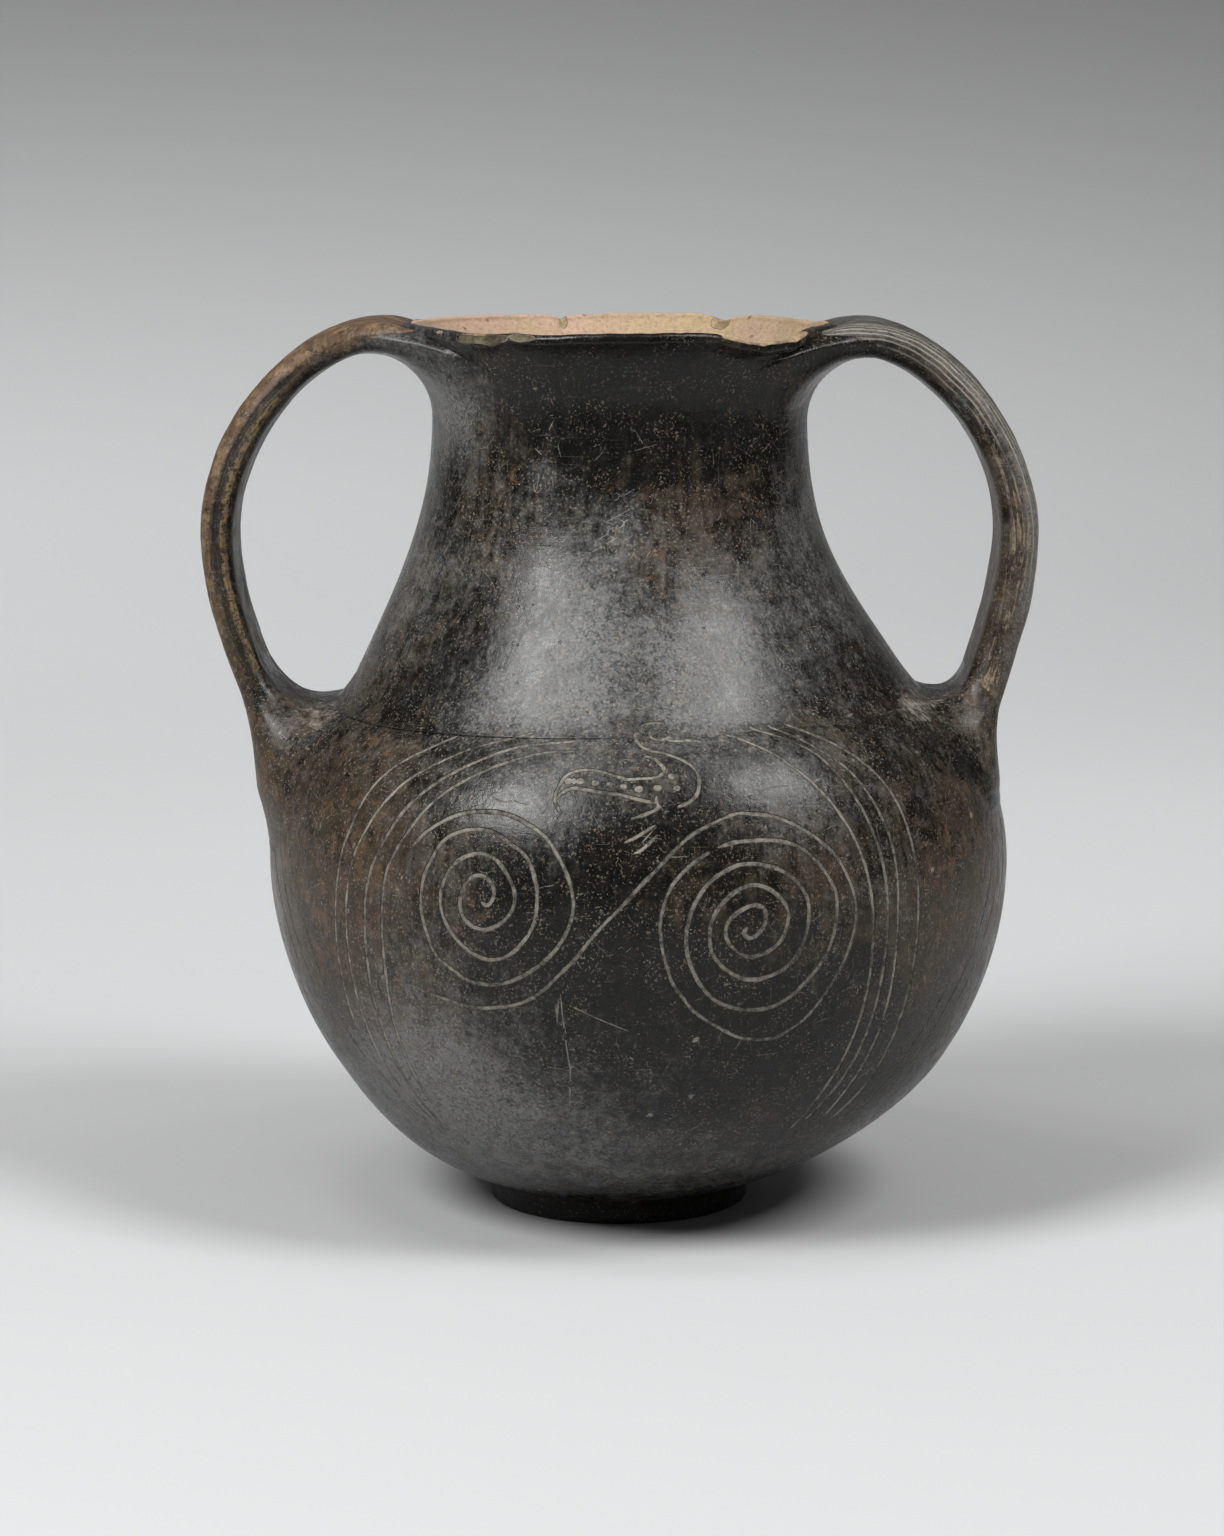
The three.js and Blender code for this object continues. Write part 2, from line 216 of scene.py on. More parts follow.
ARCS = [
    [(-33.6, 86.4), (-37.8, 84.6), (-43.5, 81.4), (-47, 77.1), (-48.9, 71.5), (-50.5, 66.4), (-51.6, 59.3),
     (-52.4, 50.5), (-52.7, 43.1), (-52.8, 36), (-52.2, 29.3), (-49.3, 23.6), (-43.4, 18.8)],
    [(-13.9, 88), (-21.8, 86.6), (-30.3, 84.5), (-38.4, 80.4), (-42.4, 76.4), (-45.1, 71.9), (-47.5, 66.4),
     (-48.9, 59.8), (-49.5, 51.6), (-49.7, 44.5), (-49.6, 36.9), (-48.7, 29), (-45.1, 22.8), (-41.8, 19.2)],
    [(-10.2, 86.3), (-20.2, 85.4), (-28, 82.8), (-33.6, 79.6), (-37.9, 75.6), (-41, 70.4), (-43.4, 65.1),
     (-44.7, 59.3), (-45.2, 51.7), (-45.5, 44.2), (-45.4, 36.4), (-45.1, 29.6), (-43.8, 24), (-41, 19.6)],
    [(-9.3, 84.9), (-15.2, 84.7), (-22.7, 82.9), (-29.3, 79.8), (-33.7, 76.2), (-36.6, 72.1), (-39, 68),
     (-40.4, 64.3), (-41.2, 58.6), (-41.6, 48.5), (-42.2, 40), (-42.2, 32), (-41.4, 25.8), (-40, 20)],
    [(-20.5, 88.8), (-23.4, 88), (-29.4, 87.3)],
    [(-73.5, 73), (-66.5, 62.9), (-61.4, 51.9), (-58.2, 40.4), (-54.6, 30.5)],
    [(16.6, 86.9), (20.5, 85.5), (24.5, 83.4), (28.1, 80.3), (31, 76.6), (33.3, 72.2), (34.9, 67.2),
     (35.8, 61.8), (36.3, 55.5), (36.5, 48.5), (36.1, 40.6), (34.9, 33.7), (33, 27.6), (30.6, 21.5)],
    [(21.2, 87.6), (28, 85.4), (32.2, 82.9), (34.7, 79.4), (36.5, 75.2), (37.7, 70.8), (38.5, 66.4), (38.9, 61),
     (39, 54.6), (39, 48.2), (38.7, 41.2), (37.9, 35.1), (36.1, 29.1), (32.8, 23)],
    [(24.7, 87.8), (29.2, 86), (33, 83.7), (36.5, 80.7), (38.6, 77.3), (40, 73.3), (40.8, 69.9), (41.1, 65),
     (41.1, 58.5), (41.2, 51.8), (41.3, 44.5), (40.9, 37), (39.5, 30.1), (36.9, 23)],
    [(28.1, 87.9), (33.5, 85.8), (37.5, 83.6), (40.4, 81.2), (42.8, 78.2), (44.3, 74.5), (45.1, 69.7),
     (45.4, 63.7), (45.5, 56.7), (45.5, 49.2), (45.3, 41.5), (44.7, 34.4), (43.2, 28), (39.6, 22)],
    [(73, 79.5), (71.6, 76.6), (70, 71.4), (66.6, 64.2), (63, 56.4), (59, 48.7), (54.8, 41), (50.8, 32.2),
     (46.9, 23.6)],
    [(76.5, 80), (75, 76), (73, 71), (69.8, 64), (66.4, 56), (62.5, 48), (58.4, 40), (54.6, 31.5), (50.5, 24)],
    [(80, 79.5), (78.2, 75), (76.2, 70), (73.2, 63), (70, 55), (66, 47), (61.6, 38.5), (57.6, 31)],
    [(83, 78), (81.3, 73), (79, 67), (76, 60), (72.6, 52)],
    [(-77, 76), (-74.4, 70), (-71.6, 63), (-67.4, 52.5), (-63.4, 42)],
    [(-80.4, 74), (-78, 68), (-75.2, 61), (-71.6, 53), (-68, 45)],
]
BIRD = {
    "head": [
        (6.8, 86.8), (6, 86.4), (4.9, 86.3), (3.8, 86.6), (3.5, 87.2), (4.3, 87.6), (5.7, 87.7), (6.8, 87.4),
        (7, 86.8), (6.6, 86.3), (8, 86.1), (9.9, 86.1), (11.3, 86), (12.5, 85.8),
    ],
    "breast": [
        (7.2, 87.9), (6.2, 88.4), (4.6, 88.6), (2.9, 88.4), (1.4, 87.8), (0.7, 86.9), (1.1, 86), (2.1, 85.3),
        (3.6, 84.8), (5.4, 84.5), (7, 84), (8.6, 83.3), (9.9, 82.3), (10.4, 80.9), (10.1, 79.6), (9.4, 78.4),
        (8.3, 77.6), (7.1, 77.1), (6.3, 76.9),
    ],
    "back": [
        (2.1, 84.2), (3.3, 83.9), (4.4, 83.2), (5, 82.4), (4.7, 81.7), (3.8, 81.3), (2.4, 81.1), (0.7, 81.1),
        (-1, 81), (-2.3, 81.3), (-4, 81.8), (-5.7, 82.2), (-7.7, 82.4), (-9.5, 82.2), (-11, 81.6),
        (-11.7, 80.7), (-12.5, 79.1), (-12.6, 77.9), (-12, 76.7), (-11.6, 76.1),
    ],
    "belly": [
        (-12.4, 78.2), (-11.3, 79.2), (-9.7, 79.8), (-8, 79.6), (-6, 79.3), (-3.7, 79), (-1.8, 78.7),
        (-0.2, 78.3), (1.4, 77.9), (2.7, 77.6),
    ],
    "leg": [(3.3, 78.6), (3.1, 77.8), (3.6, 77)],
    "first_toe": [(3.8, 76.9), (2.5, 76.4), (0.9, 75.8), (-0.9, 75.3)],
    "middle_toe": [(2.6, 74.3), (1, 73.3), (-0.6, 72.4), (-2, 71.8)],
    "last_toe": [(2.9, 72.9), (1.6, 71.7), (0.3, 70.6), (-0.8, 70.1)],
}
BIRD_DOTS = [
    (-10.6, 80.8), (-8.7, 80.8), (-6.2, 80.6), (-4, 80.3), (-1.8, 80), (0.6, 79.6), (3.6, 79.7), (6.6, 79.6),
    (6.1, 81.3),
]

# The spirals, from the outside in, and the stroke that joins them and is the right one's outer turn
LEFT_SPIRAL = [
    (-35.8, 69.5), (-33.6, 71.9), (-31.1, 73.7), (-27.8, 75.3), (-24.1, 75.9), (-20.3, 75.7), (-17, 74.5),
    (-13.8, 72.4), (-11.6, 69), (-10.2, 65.5), (-9.7, 61.6), (-10.6, 58), (-12.1, 55.1), (-14.3, 52.6),
    (-17.1, 50.4), (-20.3, 48.8), (-23.5, 48.3), (-26.7, 48.9), (-29.5, 50.7), (-31.5, 52.3), (-32.6, 55.1),
    (-33.6, 58.6), (-33.7, 61.8), (-33.2, 65.1), (-31.8, 68.3), (-30.3, 70.8), (-27.9, 72.4), (-25, 73.1),
    (-22.1, 72.8), (-19.2, 71.2), (-16.8, 69.4), (-15.5, 66.5), (-15, 63), (-15.5, 59), (-17.1, 55.9),
    (-19.4, 53.5), (-22, 52.5), (-24.4, 52.9), (-26.7, 54.3), (-28.7, 56.5), (-30.1, 59.4), (-30.3, 62.2),
    (-29.7, 64.7), (-28.3, 67.2), (-26.3, 68.7), (-23.9, 69.4), (-21.5, 68.7), (-19.7, 66.6), (-18.5, 64),
    (-18.5, 61.6), (-19.3, 60), (-20.6, 58.5), (-23, 57.3), (-25.4, 57.9), (-26.8, 59.7), (-27, 62.1),
    (-26.4, 64), (-25.2, 65.5), (-23.8, 65.9), (-22.4, 65.3), (-21.6, 63.8), (-21.8, 62.2), (-22.7, 61.2),
    (-23.6, 61.7),
]
RIGHT_SPIRAL = [
    (11.6, 70.7), (13.9, 71.3), (16.6, 71.5), (19.7, 71.4), (22.4, 70.9), (24.7, 69.8), (26.8, 67.7),
    (28.4, 65.3), (29.5, 62.7), (29.6, 59.9), (29.3, 56.7), (28.4, 53.5), (26.9, 50.8), (24.8, 48.3),
    (22.6, 46.2), (19.9, 44.8), (16.8, 44.5), (13.7, 45.1), (10.9, 46.5), (8.8, 48.9), (7.4, 51.7),
    (6.6, 54.5), (6.5, 57.8), (7.2, 60.9), (8.3, 63.2), (10, 65.5), (12.4, 67.1), (14.7, 68), (17.3, 68),
    (19.9, 67.3), (22.2, 66), (24, 63.9), (24.9, 61.5), (24.9, 58.3), (24.3, 55.5), (23.1, 52.8), (21, 50.9),
    (18.3, 49.8), (15.7, 49.7), (13.3, 50.8), (11.4, 52.5), (10.1, 54.8), (9.9, 57.7), (10.4, 60),
    (11.7, 62.1), (13.6, 63.8), (15.9, 64.8), (17.8, 64.6), (19.6, 63.5), (21.1, 61.8), (21.7, 59.8),
    (21.3, 57.4), (20.4, 55.5), (18.5, 54), (15.9, 53.4), (14, 54.4), (12.4, 56.3), (12.3, 58.6), (13.3, 60.1),
    (15, 61.2), (16.7, 61.7), (18, 61), (18.2, 59.2), (17.6, 57.7), (16.5, 56.6), (15.4, 56.6), (14.9, 57.4),
    (15.4, 58.2),
]
LINK = [
    (-33.3, 45.6), (-30.2, 44.9), (-27.3, 44.3), (-24.4, 44.2), (-21, 44.7), (-17.8, 45.7), (-14.9, 47.6),
    (-12.2, 50.4), (-9.5, 53.4), (-7.3, 56.5), (-5.2, 59.2), (-3, 61.6), (-0.4, 64.7), (2.4, 67.6),
    (4.9, 70.2), (7.5, 72.4), (10.1, 73.8), (12.9, 74.9), (15.4, 75.6), (17.7, 75.4), (20.8, 74.9),
    (23.4, 73.8), (25.6, 72.5), (28.2, 70.4), (30.3, 68), (31.8, 64.8), (32.8, 61.5), (33, 58.7), (32.6, 55.5),
    (31.5, 51.9), (29.9, 48.4), (27.8, 44.8), (25.7, 42.2), (23.4, 40.5), (21.1, 39.4), (18.2, 39.3),
    (15.3, 39.8), (12.8, 41.1), (10.4, 42.7), (8, 44.5), (6.5, 46.5), (4.7, 49.2), (3.6, 52.6), (2.9, 55.8),
    (2.7, 59), (3.2, 61.8), (4.2, 64.5), (5.9, 66.8), (8.1, 68.8), (10.4, 70.1),
]

NECK_SCRATCHES = [
    [(-4.5, 119.2), (3.5, 121.6)], [(-3.5, 118), (5, 120.6)], [(-6, 116.6), (2.2, 119.2)],
    [(-7.5, 114.6), (-0.5, 117)], [(-2, 122.6), (4.4, 124.6)], [(0.5, 116.2), (4, 117.4)],
    [(-20, 113.2), (-18.4, 111.6), (-14.2, 111.5)], [(-19.8, 114), (-17.6, 111), (-16.6, 109.6)],
    [(6.6, 113.6), (8.4, 115)], [(-26, 131), (-23.4, 129.8)], [(3.4, 105.4), (6, 104.4), (7.6, 103)],
    [(-24.6, 127.4), (-23.8, 124.6), (-22.4, 127), (-21.8, 124.4), (-20.2, 126.4), (-19.4, 124.2)],
    [(-26.2, 126), (-25, 123.8), (-23, 124.4)], [(-21.6, 133.6), (-19.6, 135.6)], [(-18.6, 131.6), (-17.4, 129.4)],
]
BELLY_SCRATCHES = [
    [(-11.9, 47.5), (-11.6, 40), (-11.4, 33.5), (-12.3, 27.4)], [(-12.8, 46), (-12.4, 39.6)],
    [(-10.6, 45.6), (-6.2, 43.4), (-1.8, 41.4)],
]


def through(places):
    """A smooth curve through rows of azimuth and height, as closely spaced points in space."""
    p = np.asarray(places, float)
    if len(p) == 2:
        fine = p[0] + (p[1] - p[0]) * np.linspace(0, 1, 24)[:, None]
    else:
        p = np.concatenate([[2 * p[0] - p[1]], p, [2 * p[-1] - p[-2]]])
        t = np.linspace(0, 1, 24, endpoint=False)[:, None]
        parts = []
        for a, b, c, d in zip(p, p[1:], p[2:], p[3:]):
            parts.append(b + 0.5 * t * (c - a + t * (2 * a - 5 * b + 4 * c - d + t * (3 * (b - c) + d - a))))
        fine = np.concatenate([*parts, p[-2:-1]])
    return resampled(on_vessel(fine), 0.15)


def front_and_back(places):
    """A line as it is, and the same line on the back."""
    return places, [(180 - azimuth, height) for azimuth, height in places]


def strokes():
    """The incised lines in sets, neighbours never in the same one, as (points, half width, paleness)."""
    rng = np.random.default_rng(11)
    sets = {"line": [], "stroke": [], "dot": []}

    def cut(name, places, half_width, pale):
        sets[name].append((through(places), half_width * rng.uniform(0.9, 1.1), pale * rng.uniform(0.82, 1.05)))

    for number, line in enumerate(ARCS):
        name = ("line", "stroke")[number % 2]
        fine = number in (4, 5) or number > 9
        for places in front_and_back(line):
            cut(name, places, 0.16 if fine else 0.26, 0.5 if fine else 0.78)
    for name, line in (("line", LEFT_SPIRAL), ("line", RIGHT_SPIRAL), ("stroke", LINK)):
        for places in front_and_back(line):
            cut(name, places, 0.27, 0.82)
    for part, line in BIRD.items():
        cut("stroke" if part in ("breast", "belly") else "line", line, 0.27, 0.8)
    for azimuth, height in BIRD_DOTS:
        cut("dot", [(azimuth - 0.1, height), (azimuth + 0.1, height)], 0.5, 0.85)
    return sets


def scratches(low, high, count, seed, special):
    """Fine accidental scratches between two heights, as (points, half width, paleness)."""
    rng = np.random.default_rng(seed)
    made = [(through(line), rng.uniform(0.05, 0.1), rng.uniform(0.3, 0.6)) for line in special]
    for _ in range(count):
        azimuth, height = rng.uniform(-180, 180), rng.uniform(low, high)
        reach = rng.gamma(1.8, 0.9) + 0.5
        heading = rng.normal(0.15, 0.6) + (np.pi / 2 if rng.random() < 0.2 else 0)
        swing = rng.normal(0, 0.25)
        radius = float(outside_radius(height))
        line = []
        for t in np.linspace(0, reach, 4):
            turn = heading + swing * t / reach
            line.append((azimuth + np.degrees(t * np.cos(turn) / radius), height + t * np.sin(turn)))
        line = [(a, min(max(h, low), high)) for a, h in line]
        made.append((through(line), rng.uniform(0.025, 0.06), rng.uniform(0.08, 0.5) ** 1.2))
    return made


def nearest_stroke(points, wanted, lines, reach=3.0):
    """For each wanted point the way to the nearest line, how far that is, and the line's half width and paleness."""
    samples = np.concatenate([line for line, _, _ in lines])
    run = np.concatenate([np.gradient(line, axis=0) for line, _, _ in lines])
    run /= np.linalg.norm(run, axis=1)[:, None]
    width = np.concatenate([np.full(len(line), w) for line, w, _ in lines])
    pale = np.concatenate([np.full(len(line), p) for line, _, p in lines])
    since_start = np.concatenate([np.arange(len(line)) for line, _, _ in lines])
    until_end = np.concatenate([np.arange(len(line))[::-1] for line, _, _ in lines])
    dot = since_start + until_end < 6
    taper = np.where(dot, 1, np.minimum(1, 0.4 + np.minimum(since_start, until_end) * 0.12))
    start, end = since_start == 0, until_end == 0
    tree = KDTree(len(samples))
    for i, sample in enumerate(samples):
        tree.insert(sample, i)
    tree.balance()
    way = np.tile([reach, 0.0, 0.0], (len(points), 1))
    far = np.full(len(points), reach)
    index = np.zeros(len(points), int)
    for i in np.flatnonzero(wanted):
        found = tree.find(points[i])
        index[i], far[i] = found[1], found[2]
    close = far < reach
    far[~close] = reach
    step = samples[index] - points
    back = (step * run[index]).sum(1)
    back = np.where(start[index], np.minimum(back, 0), np.where(end[index], np.maximum(back, 0), back))
    step = step - back[:, None] * run[index]
    way[close] = step[close]
    far[close] = np.linalg.norm(step, axis=1)[close]
    return {"way": way, "far": far, "width": width[index] * taper[index], "pale": pale[index]}


# Zones of the surface, as soft spots of (azimuth, height, radius, amount)

# Worn grey haze, raised into painted highlights and reflections on the neck, the shoulders and the lower left of the
# belly; amounts below nothing are painted shade, under the lip and on the belly
HAZE_AND_PAINTED_LIGHT = [
    (-11, 104, 9, 1.0), (-12, 94, 9, 1.15), (20, 99, 9, 1.3), (14, 91, 9, 1.05), (-30, 93, 9, 0.4),
    (-23, 126, 5, 0.7), (-45, 112, 9, 0.35), (48, 112, 9, 0.4), (-5, 114, 10, 0.3), (-70, 138, 6, 0.4),
    (1, 120, 5, 0.6), (-14, 79, 8, 0.65), (2, 82, 9, 0.25), (25, 79, 7, 0.8), (-38, 27, 16, 1.6),
    (-12, 20, 14, 0.6), (-30, 52, 14, 0.1), (-26, 90, 8, 0.45), (44, 100, 10, 0.25), (-58, 135, 8, 0.7),
    (-62, 140, 8, 0.6), (20, 14, 12, 0.2), (60, 118, 7, 0.35), (-58, 60, 16, -0.5), (-68, 104, 9, 0.45),
    (68, 104, 10, 0.5), (-75, 120, 8, 0.35), (75, 120, 8, 0.4), (60, 56, 12, -0.7), (48, 34, 14, -0.7),
    (0, 142, 17, -0.7), (35, 138, 13, -0.5), (-25, 143, 9, -0.45), (5, 52, 18, -0.55), (30, 26, 16, -0.35),
    (0, 65, 7, -0.5), (-35, 103, 7, -0.3),
]
# Brown instead of black; less than nothing is darker, painted shade under the lip and on the lower belly
BROWN_AND_PAINTED_SHADE = [
    (-34, 122, 9, 0.9), (-40, 108, 9, 0.35), (-50, 82, 11, 0.9), (-75, 62, 20, 0.9), (-30, 36, 9, 0.35),
    (10, 118, 7, 0.8), (14, 110, 6, 0.6), (12, 95, 6, 0.7), (16, 100, 5, 0.5), (26, 118, 6, 0.5), (38, 122, 8, 0.5),
    (55, 62, 14, 0.7), (75, 52, 20, 0.7), (40, 84, 8, 0.5), (26, 70, 8, 0.35), (-40, 70, 9, 0.5), (-4, 86, 8, 0.4),
    (-50, 54, 9, 0.3), (0, 142, 14, -0.6), (3, 40, 14, -0.9), (0, 10, 12, -0.5), (48, 30, 14, -0.5),
    (-46, 62, 13, 0.8), (-62, 48, 13, 0.7), (-24, 60, 8, 0.5), (30, 64, 10, 0.6), (8, 62, 7, 0.5),
    (48, 52, 11, 0.6), (62, 72, 12, 0.5), (-38, 38, 14, 0.8), (-68, 104, 9, 0.4),
]
# Pale dust and smeared clay
SMEAR = [
    (-76, 85, 6, 0.7), (-70, 80, 5, 0.45), (-58, 87, 4, 0.4), (78, 87, 6, 0.75), (66, 86, 5, 0.6),
    (58, 85, 4, 0.55), (-104, 85, 6, 0.7), (104, 86, 6, 0.8), (47, 108, 3, 0.5), (52, 127, 4, 0.4),
    (46, 87.4, 2.5, 0.9), (36, 87.4, 2, 0.6), (54, 87.4, 2.5, 0.8), (-44, 87.6, 2.5, 0.6), (-30, 87.8, 2, 0.5),
    (-16, 87.8, 1.8, 0.4), (20, 87.5, 2, 0.5), (4, 87.5, 1.6, 0.35),
]


def zone(points, spots, seed):
    """The amount that a list of spots gives at each point, front and back."""
    rng = np.random.default_rng(seed)
    total = np.zeros(len(points))
    for azimuth, height, radius, amount in spots:
        other = 180 - azimuth + rng.normal(0, 9)
        for around in (azimuth, other):
            centre = on_vessel([(around, height)])[0]
            total += amount * np.exp(-((points - centre) ** 2).sum(1) / (2 * (0.75 * radius) ** 2))
    return total


# The lip's top edge: how far it lies under the rim height, by azimuth. Falls are old chips.
LIP_FALL = [
    (0, 0.35), (12, 0.3), (22, 0.4), (26, 0.5), (29, 1.1), (34, 1.75), (40, 2.25), (46, 2.1), (52, 1.9), (56, 1.2),
    (59, 0.55), (63, 0.3), (78, 0.1), (100, 0.1), (109, 0.7), (114, 0.55), (126, 0.3), (137, 0.05), (143, 0.35),
    (147, 1.0), (150, 1.1), (153, 0.5), (157, 0), (168, 0.1), (184, 0.25), (192, 0.45), (195.4, 0.75), (197, 1.35),
    (198.6, 0.5), (202, 0.25), (225, 0.2), (250, 0.15), (262, 0.05), (290, 0.1), (304, 0.35), (313, 0.7),
    (322, 0.75), (332, 0.55), (340, 0.65), (350, 0.45), (360, 0.35),
]


def lip_fall(azimuth):
    turn = np.degrees(azimuth) % 360
    table = np.array(LIP_FALL)
    spot = np.stack([np.cos(azimuth) * 36, np.sin(azimuth) * 36, 0 * azimuth], -1)
    fall = np.interp(turn, table[:, 0], table[:, 1])
    return fall + 0.1 * unevenness(spot, 3.0, 1) + (0.05 + 0.05 * np.clip(fall, 0, 1.5)) * unevenness(spot, 1.3, 2)


def carved(points, azimuth, height, out_by, radii, rough, layer):
    """Pushes points out of an uneven ellipsoid beside the lip, and says how deep each one was in it."""
    a = np.radians(azimuth)
    axes = np.array([[np.sin(a), -np.cos(a), 0], [np.cos(a), np.sin(a), 0], [0, 0, 1]])
    centre = axes[0] * (LIP_RADIUS + out_by) + [0, 0, height]
    q = (points - centre) @ axes.T / radii
    size = np.maximum(np.linalg.norm(q, axis=-1), 1e-3)
    depth = size + rough * unevenness(points, 1.7, layer)
    share = np.where(depth < 1, 1 + (1 - depth) / size, 1)
    return centre + q * share[..., None] * radii @ axes, np.clip((1.05 - depth) * 5, 0, 1)


def new_piece(name, points, faces, uv=None, normals=None):
    mesh = bpy.data.meshes.new(name)
    mesh.from_pydata(points * MM, [], faces)
    if uv is not None:
        mesh.uv_layers.new(name="OFBake").data.foreach_set("uv", np.asarray(uv, np.float32).ravel())
    mesh.polygons.foreach_set("use_smooth", np.ones(len(mesh.polygons), bool))
    mesh.update()
    if normals is not None:
        mesh.normals_split_custom_set_from_vertices(normals)
    piece = bpy.data.objects.new(name, mesh)
    bpy.context.collection.objects.link(piece)
    return piece


def keep(piece, **values):
    """Stores numbers or vectors on the vertices for the materials to read."""
    for name, value in values.items():
        value = np.asarray(value, np.float32)
        kind, field = ("FLOAT_VECTOR", "vector") if value.ndim == 2 else ("FLOAT", "value")
        layer = piece.data.attributes.new(name, kind, "POINT")
        layer.data.foreach_set(field, value.ravel())


def wheel_faces(rows, columns, closed):
    """Faces and map corners of rings of points, with a pole at either end, or closed into a ring of rings."""
    shift = 0 if closed else 1
    lengths = np.linspace(0, 1, rows + (1 if closed else 2))
    faces, corners = [], []
    column = np.arange(columns)
    beside = (column + 1) % columns
    u = column / columns
    w = (column + 1) / columns
    for row in range(rows if closed else rows - 1):
        a = shift + row * columns
        b = shift + ((row + 1) % rows) * columns
        faces.append(np.stack([a + column, a + beside, b + beside, b + column], 1))
        low, high = lengths[row + shift], lengths[row + shift + 1]
        corners.append(np.stack([u, 0 * u + low, w, 0 * u + low, w, 0 * u + high, u, 0 * u + high], 1))
    faces = [tuple(f) for f in np.concatenate(faces).tolist()]
    uv = np.concatenate(corners).reshape(-1, 2).tolist()
    if closed:
        return faces, uv
    top = shift + rows * columns
    ring = shift + (rows - 1) * columns
    for i in range(columns):
        faces.append((0, shift + int(beside[i]), shift + i))
        uv += [((u[i] + w[i]) / 2, 0), (w[i], lengths[1]), (u[i], lengths[1])]
    for i in range(columns):
        faces.append((ring + i, ring + int(beside[i]), top))
        uv += [(u[i], lengths[-2]), (w[i], lengths[-2]), ((u[i] + w[i]) / 2, 1)]
    return faces, uv


def turned_piece(name, outline, columns, shape, closed=False):
    """A turned piece from an outline, its points as shaped, and the same points on the even outline."""
    azimuth = np.linspace(0, 2 * np.pi, columns, endpoint=False)
    rings = outline if closed else outline[1:-1]
    grid = turned(rings[:, 0][:, None], azimuth[None, :], rings[:, 1][:, None])
    even = grid.reshape(-1, 3).copy()
    points = shape(grid, np.broadcast_to(azimuth[None, :], grid.shape[:2]), rings).reshape(-1, 3)
    if not closed:
        ends = turned(outline[[0, -1], 0], np.zeros(2), outline[[0, -1], 1])
        points = np.concatenate([ends[:1], points, ends[1:]])
        even = np.concatenate([ends[:1], even, ends[1:]])
    faces, uv = wheel_faces(len(rings), columns, closed)
    return new_piece(name, points, faces, uv), points, even


def round_corner(centre, size, start, sweep, count=5):
    angle = np.radians(np.linspace(start, start + sweep, count))
    return np.stack([centre[0] + size * np.cos(angle), centre[1] + size * np.sin(angle)], 1)


def pull_in(points, wall):
    """How far the hand-turned wall lies inside its even outline."""
    height = points[..., 2]
    if wall == "neck":
        soft = smooth(height, 88, 93) * (1 - smooth(height, 138, 147))
        return 0.4 * soft * (0.5 + 0.5 * unevenness(points, 20, 1))
    soft = smooth(height, 5, 14) * (1 - smooth(height, 85.5, 87))
    return 0.42 * soft * (0.5 + 0.5 * unevenness(points, 24, 0))


def hand_made(grid, wall):
    inwards = grid.copy()
    inwards[..., 0] -= lean_at(grid[..., 2])
    inwards[..., 2] = 0
    inwards /= np.maximum(np.linalg.norm(inwards, axis=-1, keepdims=True), 1e-6)
    return grid - inwards * pull_in(grid, wall)[..., None]


# Foot

def foot_shape(grid, azimuth, rings):
    outer = smooth(rings[:, 0], 17.5, 20)[:, None]
    spot = np.stack([np.sin(azimuth) * 22, np.cos(azimuth) * 22, 0 * azimuth], -1)
    pull = outer * (0.18 + 0.3 * (0.5 + 0.5 * unevenness(spot, 11, 3)) + 0.12 * unevenness(grid, 3.2, 4))
    flat = smooth(rings[:, 1], 0.05, 0.8)[:, None]
    inwards = np.stack([np.sin(azimuth), -np.cos(azimuth), 0 * azimuth], -1)
    return grid - inwards * (pull * (0.35 + 0.65 * flat))[..., None]


foot_outline = joined(
    [(0, FOOT_HOLLOW)],
    resampled(np.array([(2, FOOT_HOLLOW), (15.6, FOOT_HOLLOW)]), 2.5),
    [(16.4, 0.55), (16.9, 0.12), (17.3, 0)],
    resampled(np.array([(17.6, 0), (20.9, 0)]), 1.0),
    round_corner((FOOT_RADIUS - 1, FOOT_EDGE), FOOT_EDGE, -90, 70, 8),
    resampled(bezier((FOOT_RADIUS, 1.4), (22.35, 2.6), (22.5, 3.6), (24.15, 4.75), count=40), 0.5),
    [(radius, FOOT_HEIGHT) for radius in (23.6, 18, 8, 0)],
)
foot, foot_points, _ = turned_piece("foot", foot_outline, 240, foot_shape)

# Belly

lower_split = int(np.searchsorted(LOWER_BELLY[:, 1], 19))
inside_shoulder = outward_offset(UPPER_BELLY, -BELLY_WALL)[::-1]
inside_shoulder = inside_shoulder[(inside_shoulder[:, 0] > 45.2) & (inside_shoulder[:, 1] < 84.3)]
inside_bowl = outward_offset(LOWER_BELLY, -BELLY_WALL)[::-1]
inside_bowl = inside_bowl[inside_bowl[:, 1] > FOOT_HEIGHT + 4.7]
belly_outline = joined(
    [(radius, FOOT_HEIGHT) for radius in (0, 8, 18, 22.5)],
    resampled(LOWER_BELLY[: lower_split + 1], 1.1),
    resampled(joined(LOWER_BELLY[lower_split:], UPPER_BELLY[:-3]), 0.66),
    [(NECK_SEAT_RADIUS - 0.12, NECK_SEAT_HEIGHT - 0.12), (NECK_SEAT_RADIUS - 0.35, NECK_SEAT_HEIGHT - 0.02)],
    [(48.9, NECK_SEAT_HEIGHT), (46.8, NECK_SEAT_HEIGHT), (COLLAR_RADIUS, NECK_SEAT_HEIGHT)],
    [(COLLAR_RADIUS, NECK_SEAT_HEIGHT - 1.2), (COLLAR_RADIUS, NECK_SEAT_HEIGHT - 2.4)],
    resampled(inside_shoulder, 3.5),
    resampled(inside_bowl, 4.0),
    [(radius, FOOT_HEIGHT + 4.6) for radius in (18, 9, 0)],
)


belly, belly_points, belly_even = turned_piece(
    "belly", belly_outline, 540, lambda grid, azimuth, rings: hand_made(grid, "belly")
)

# Neck

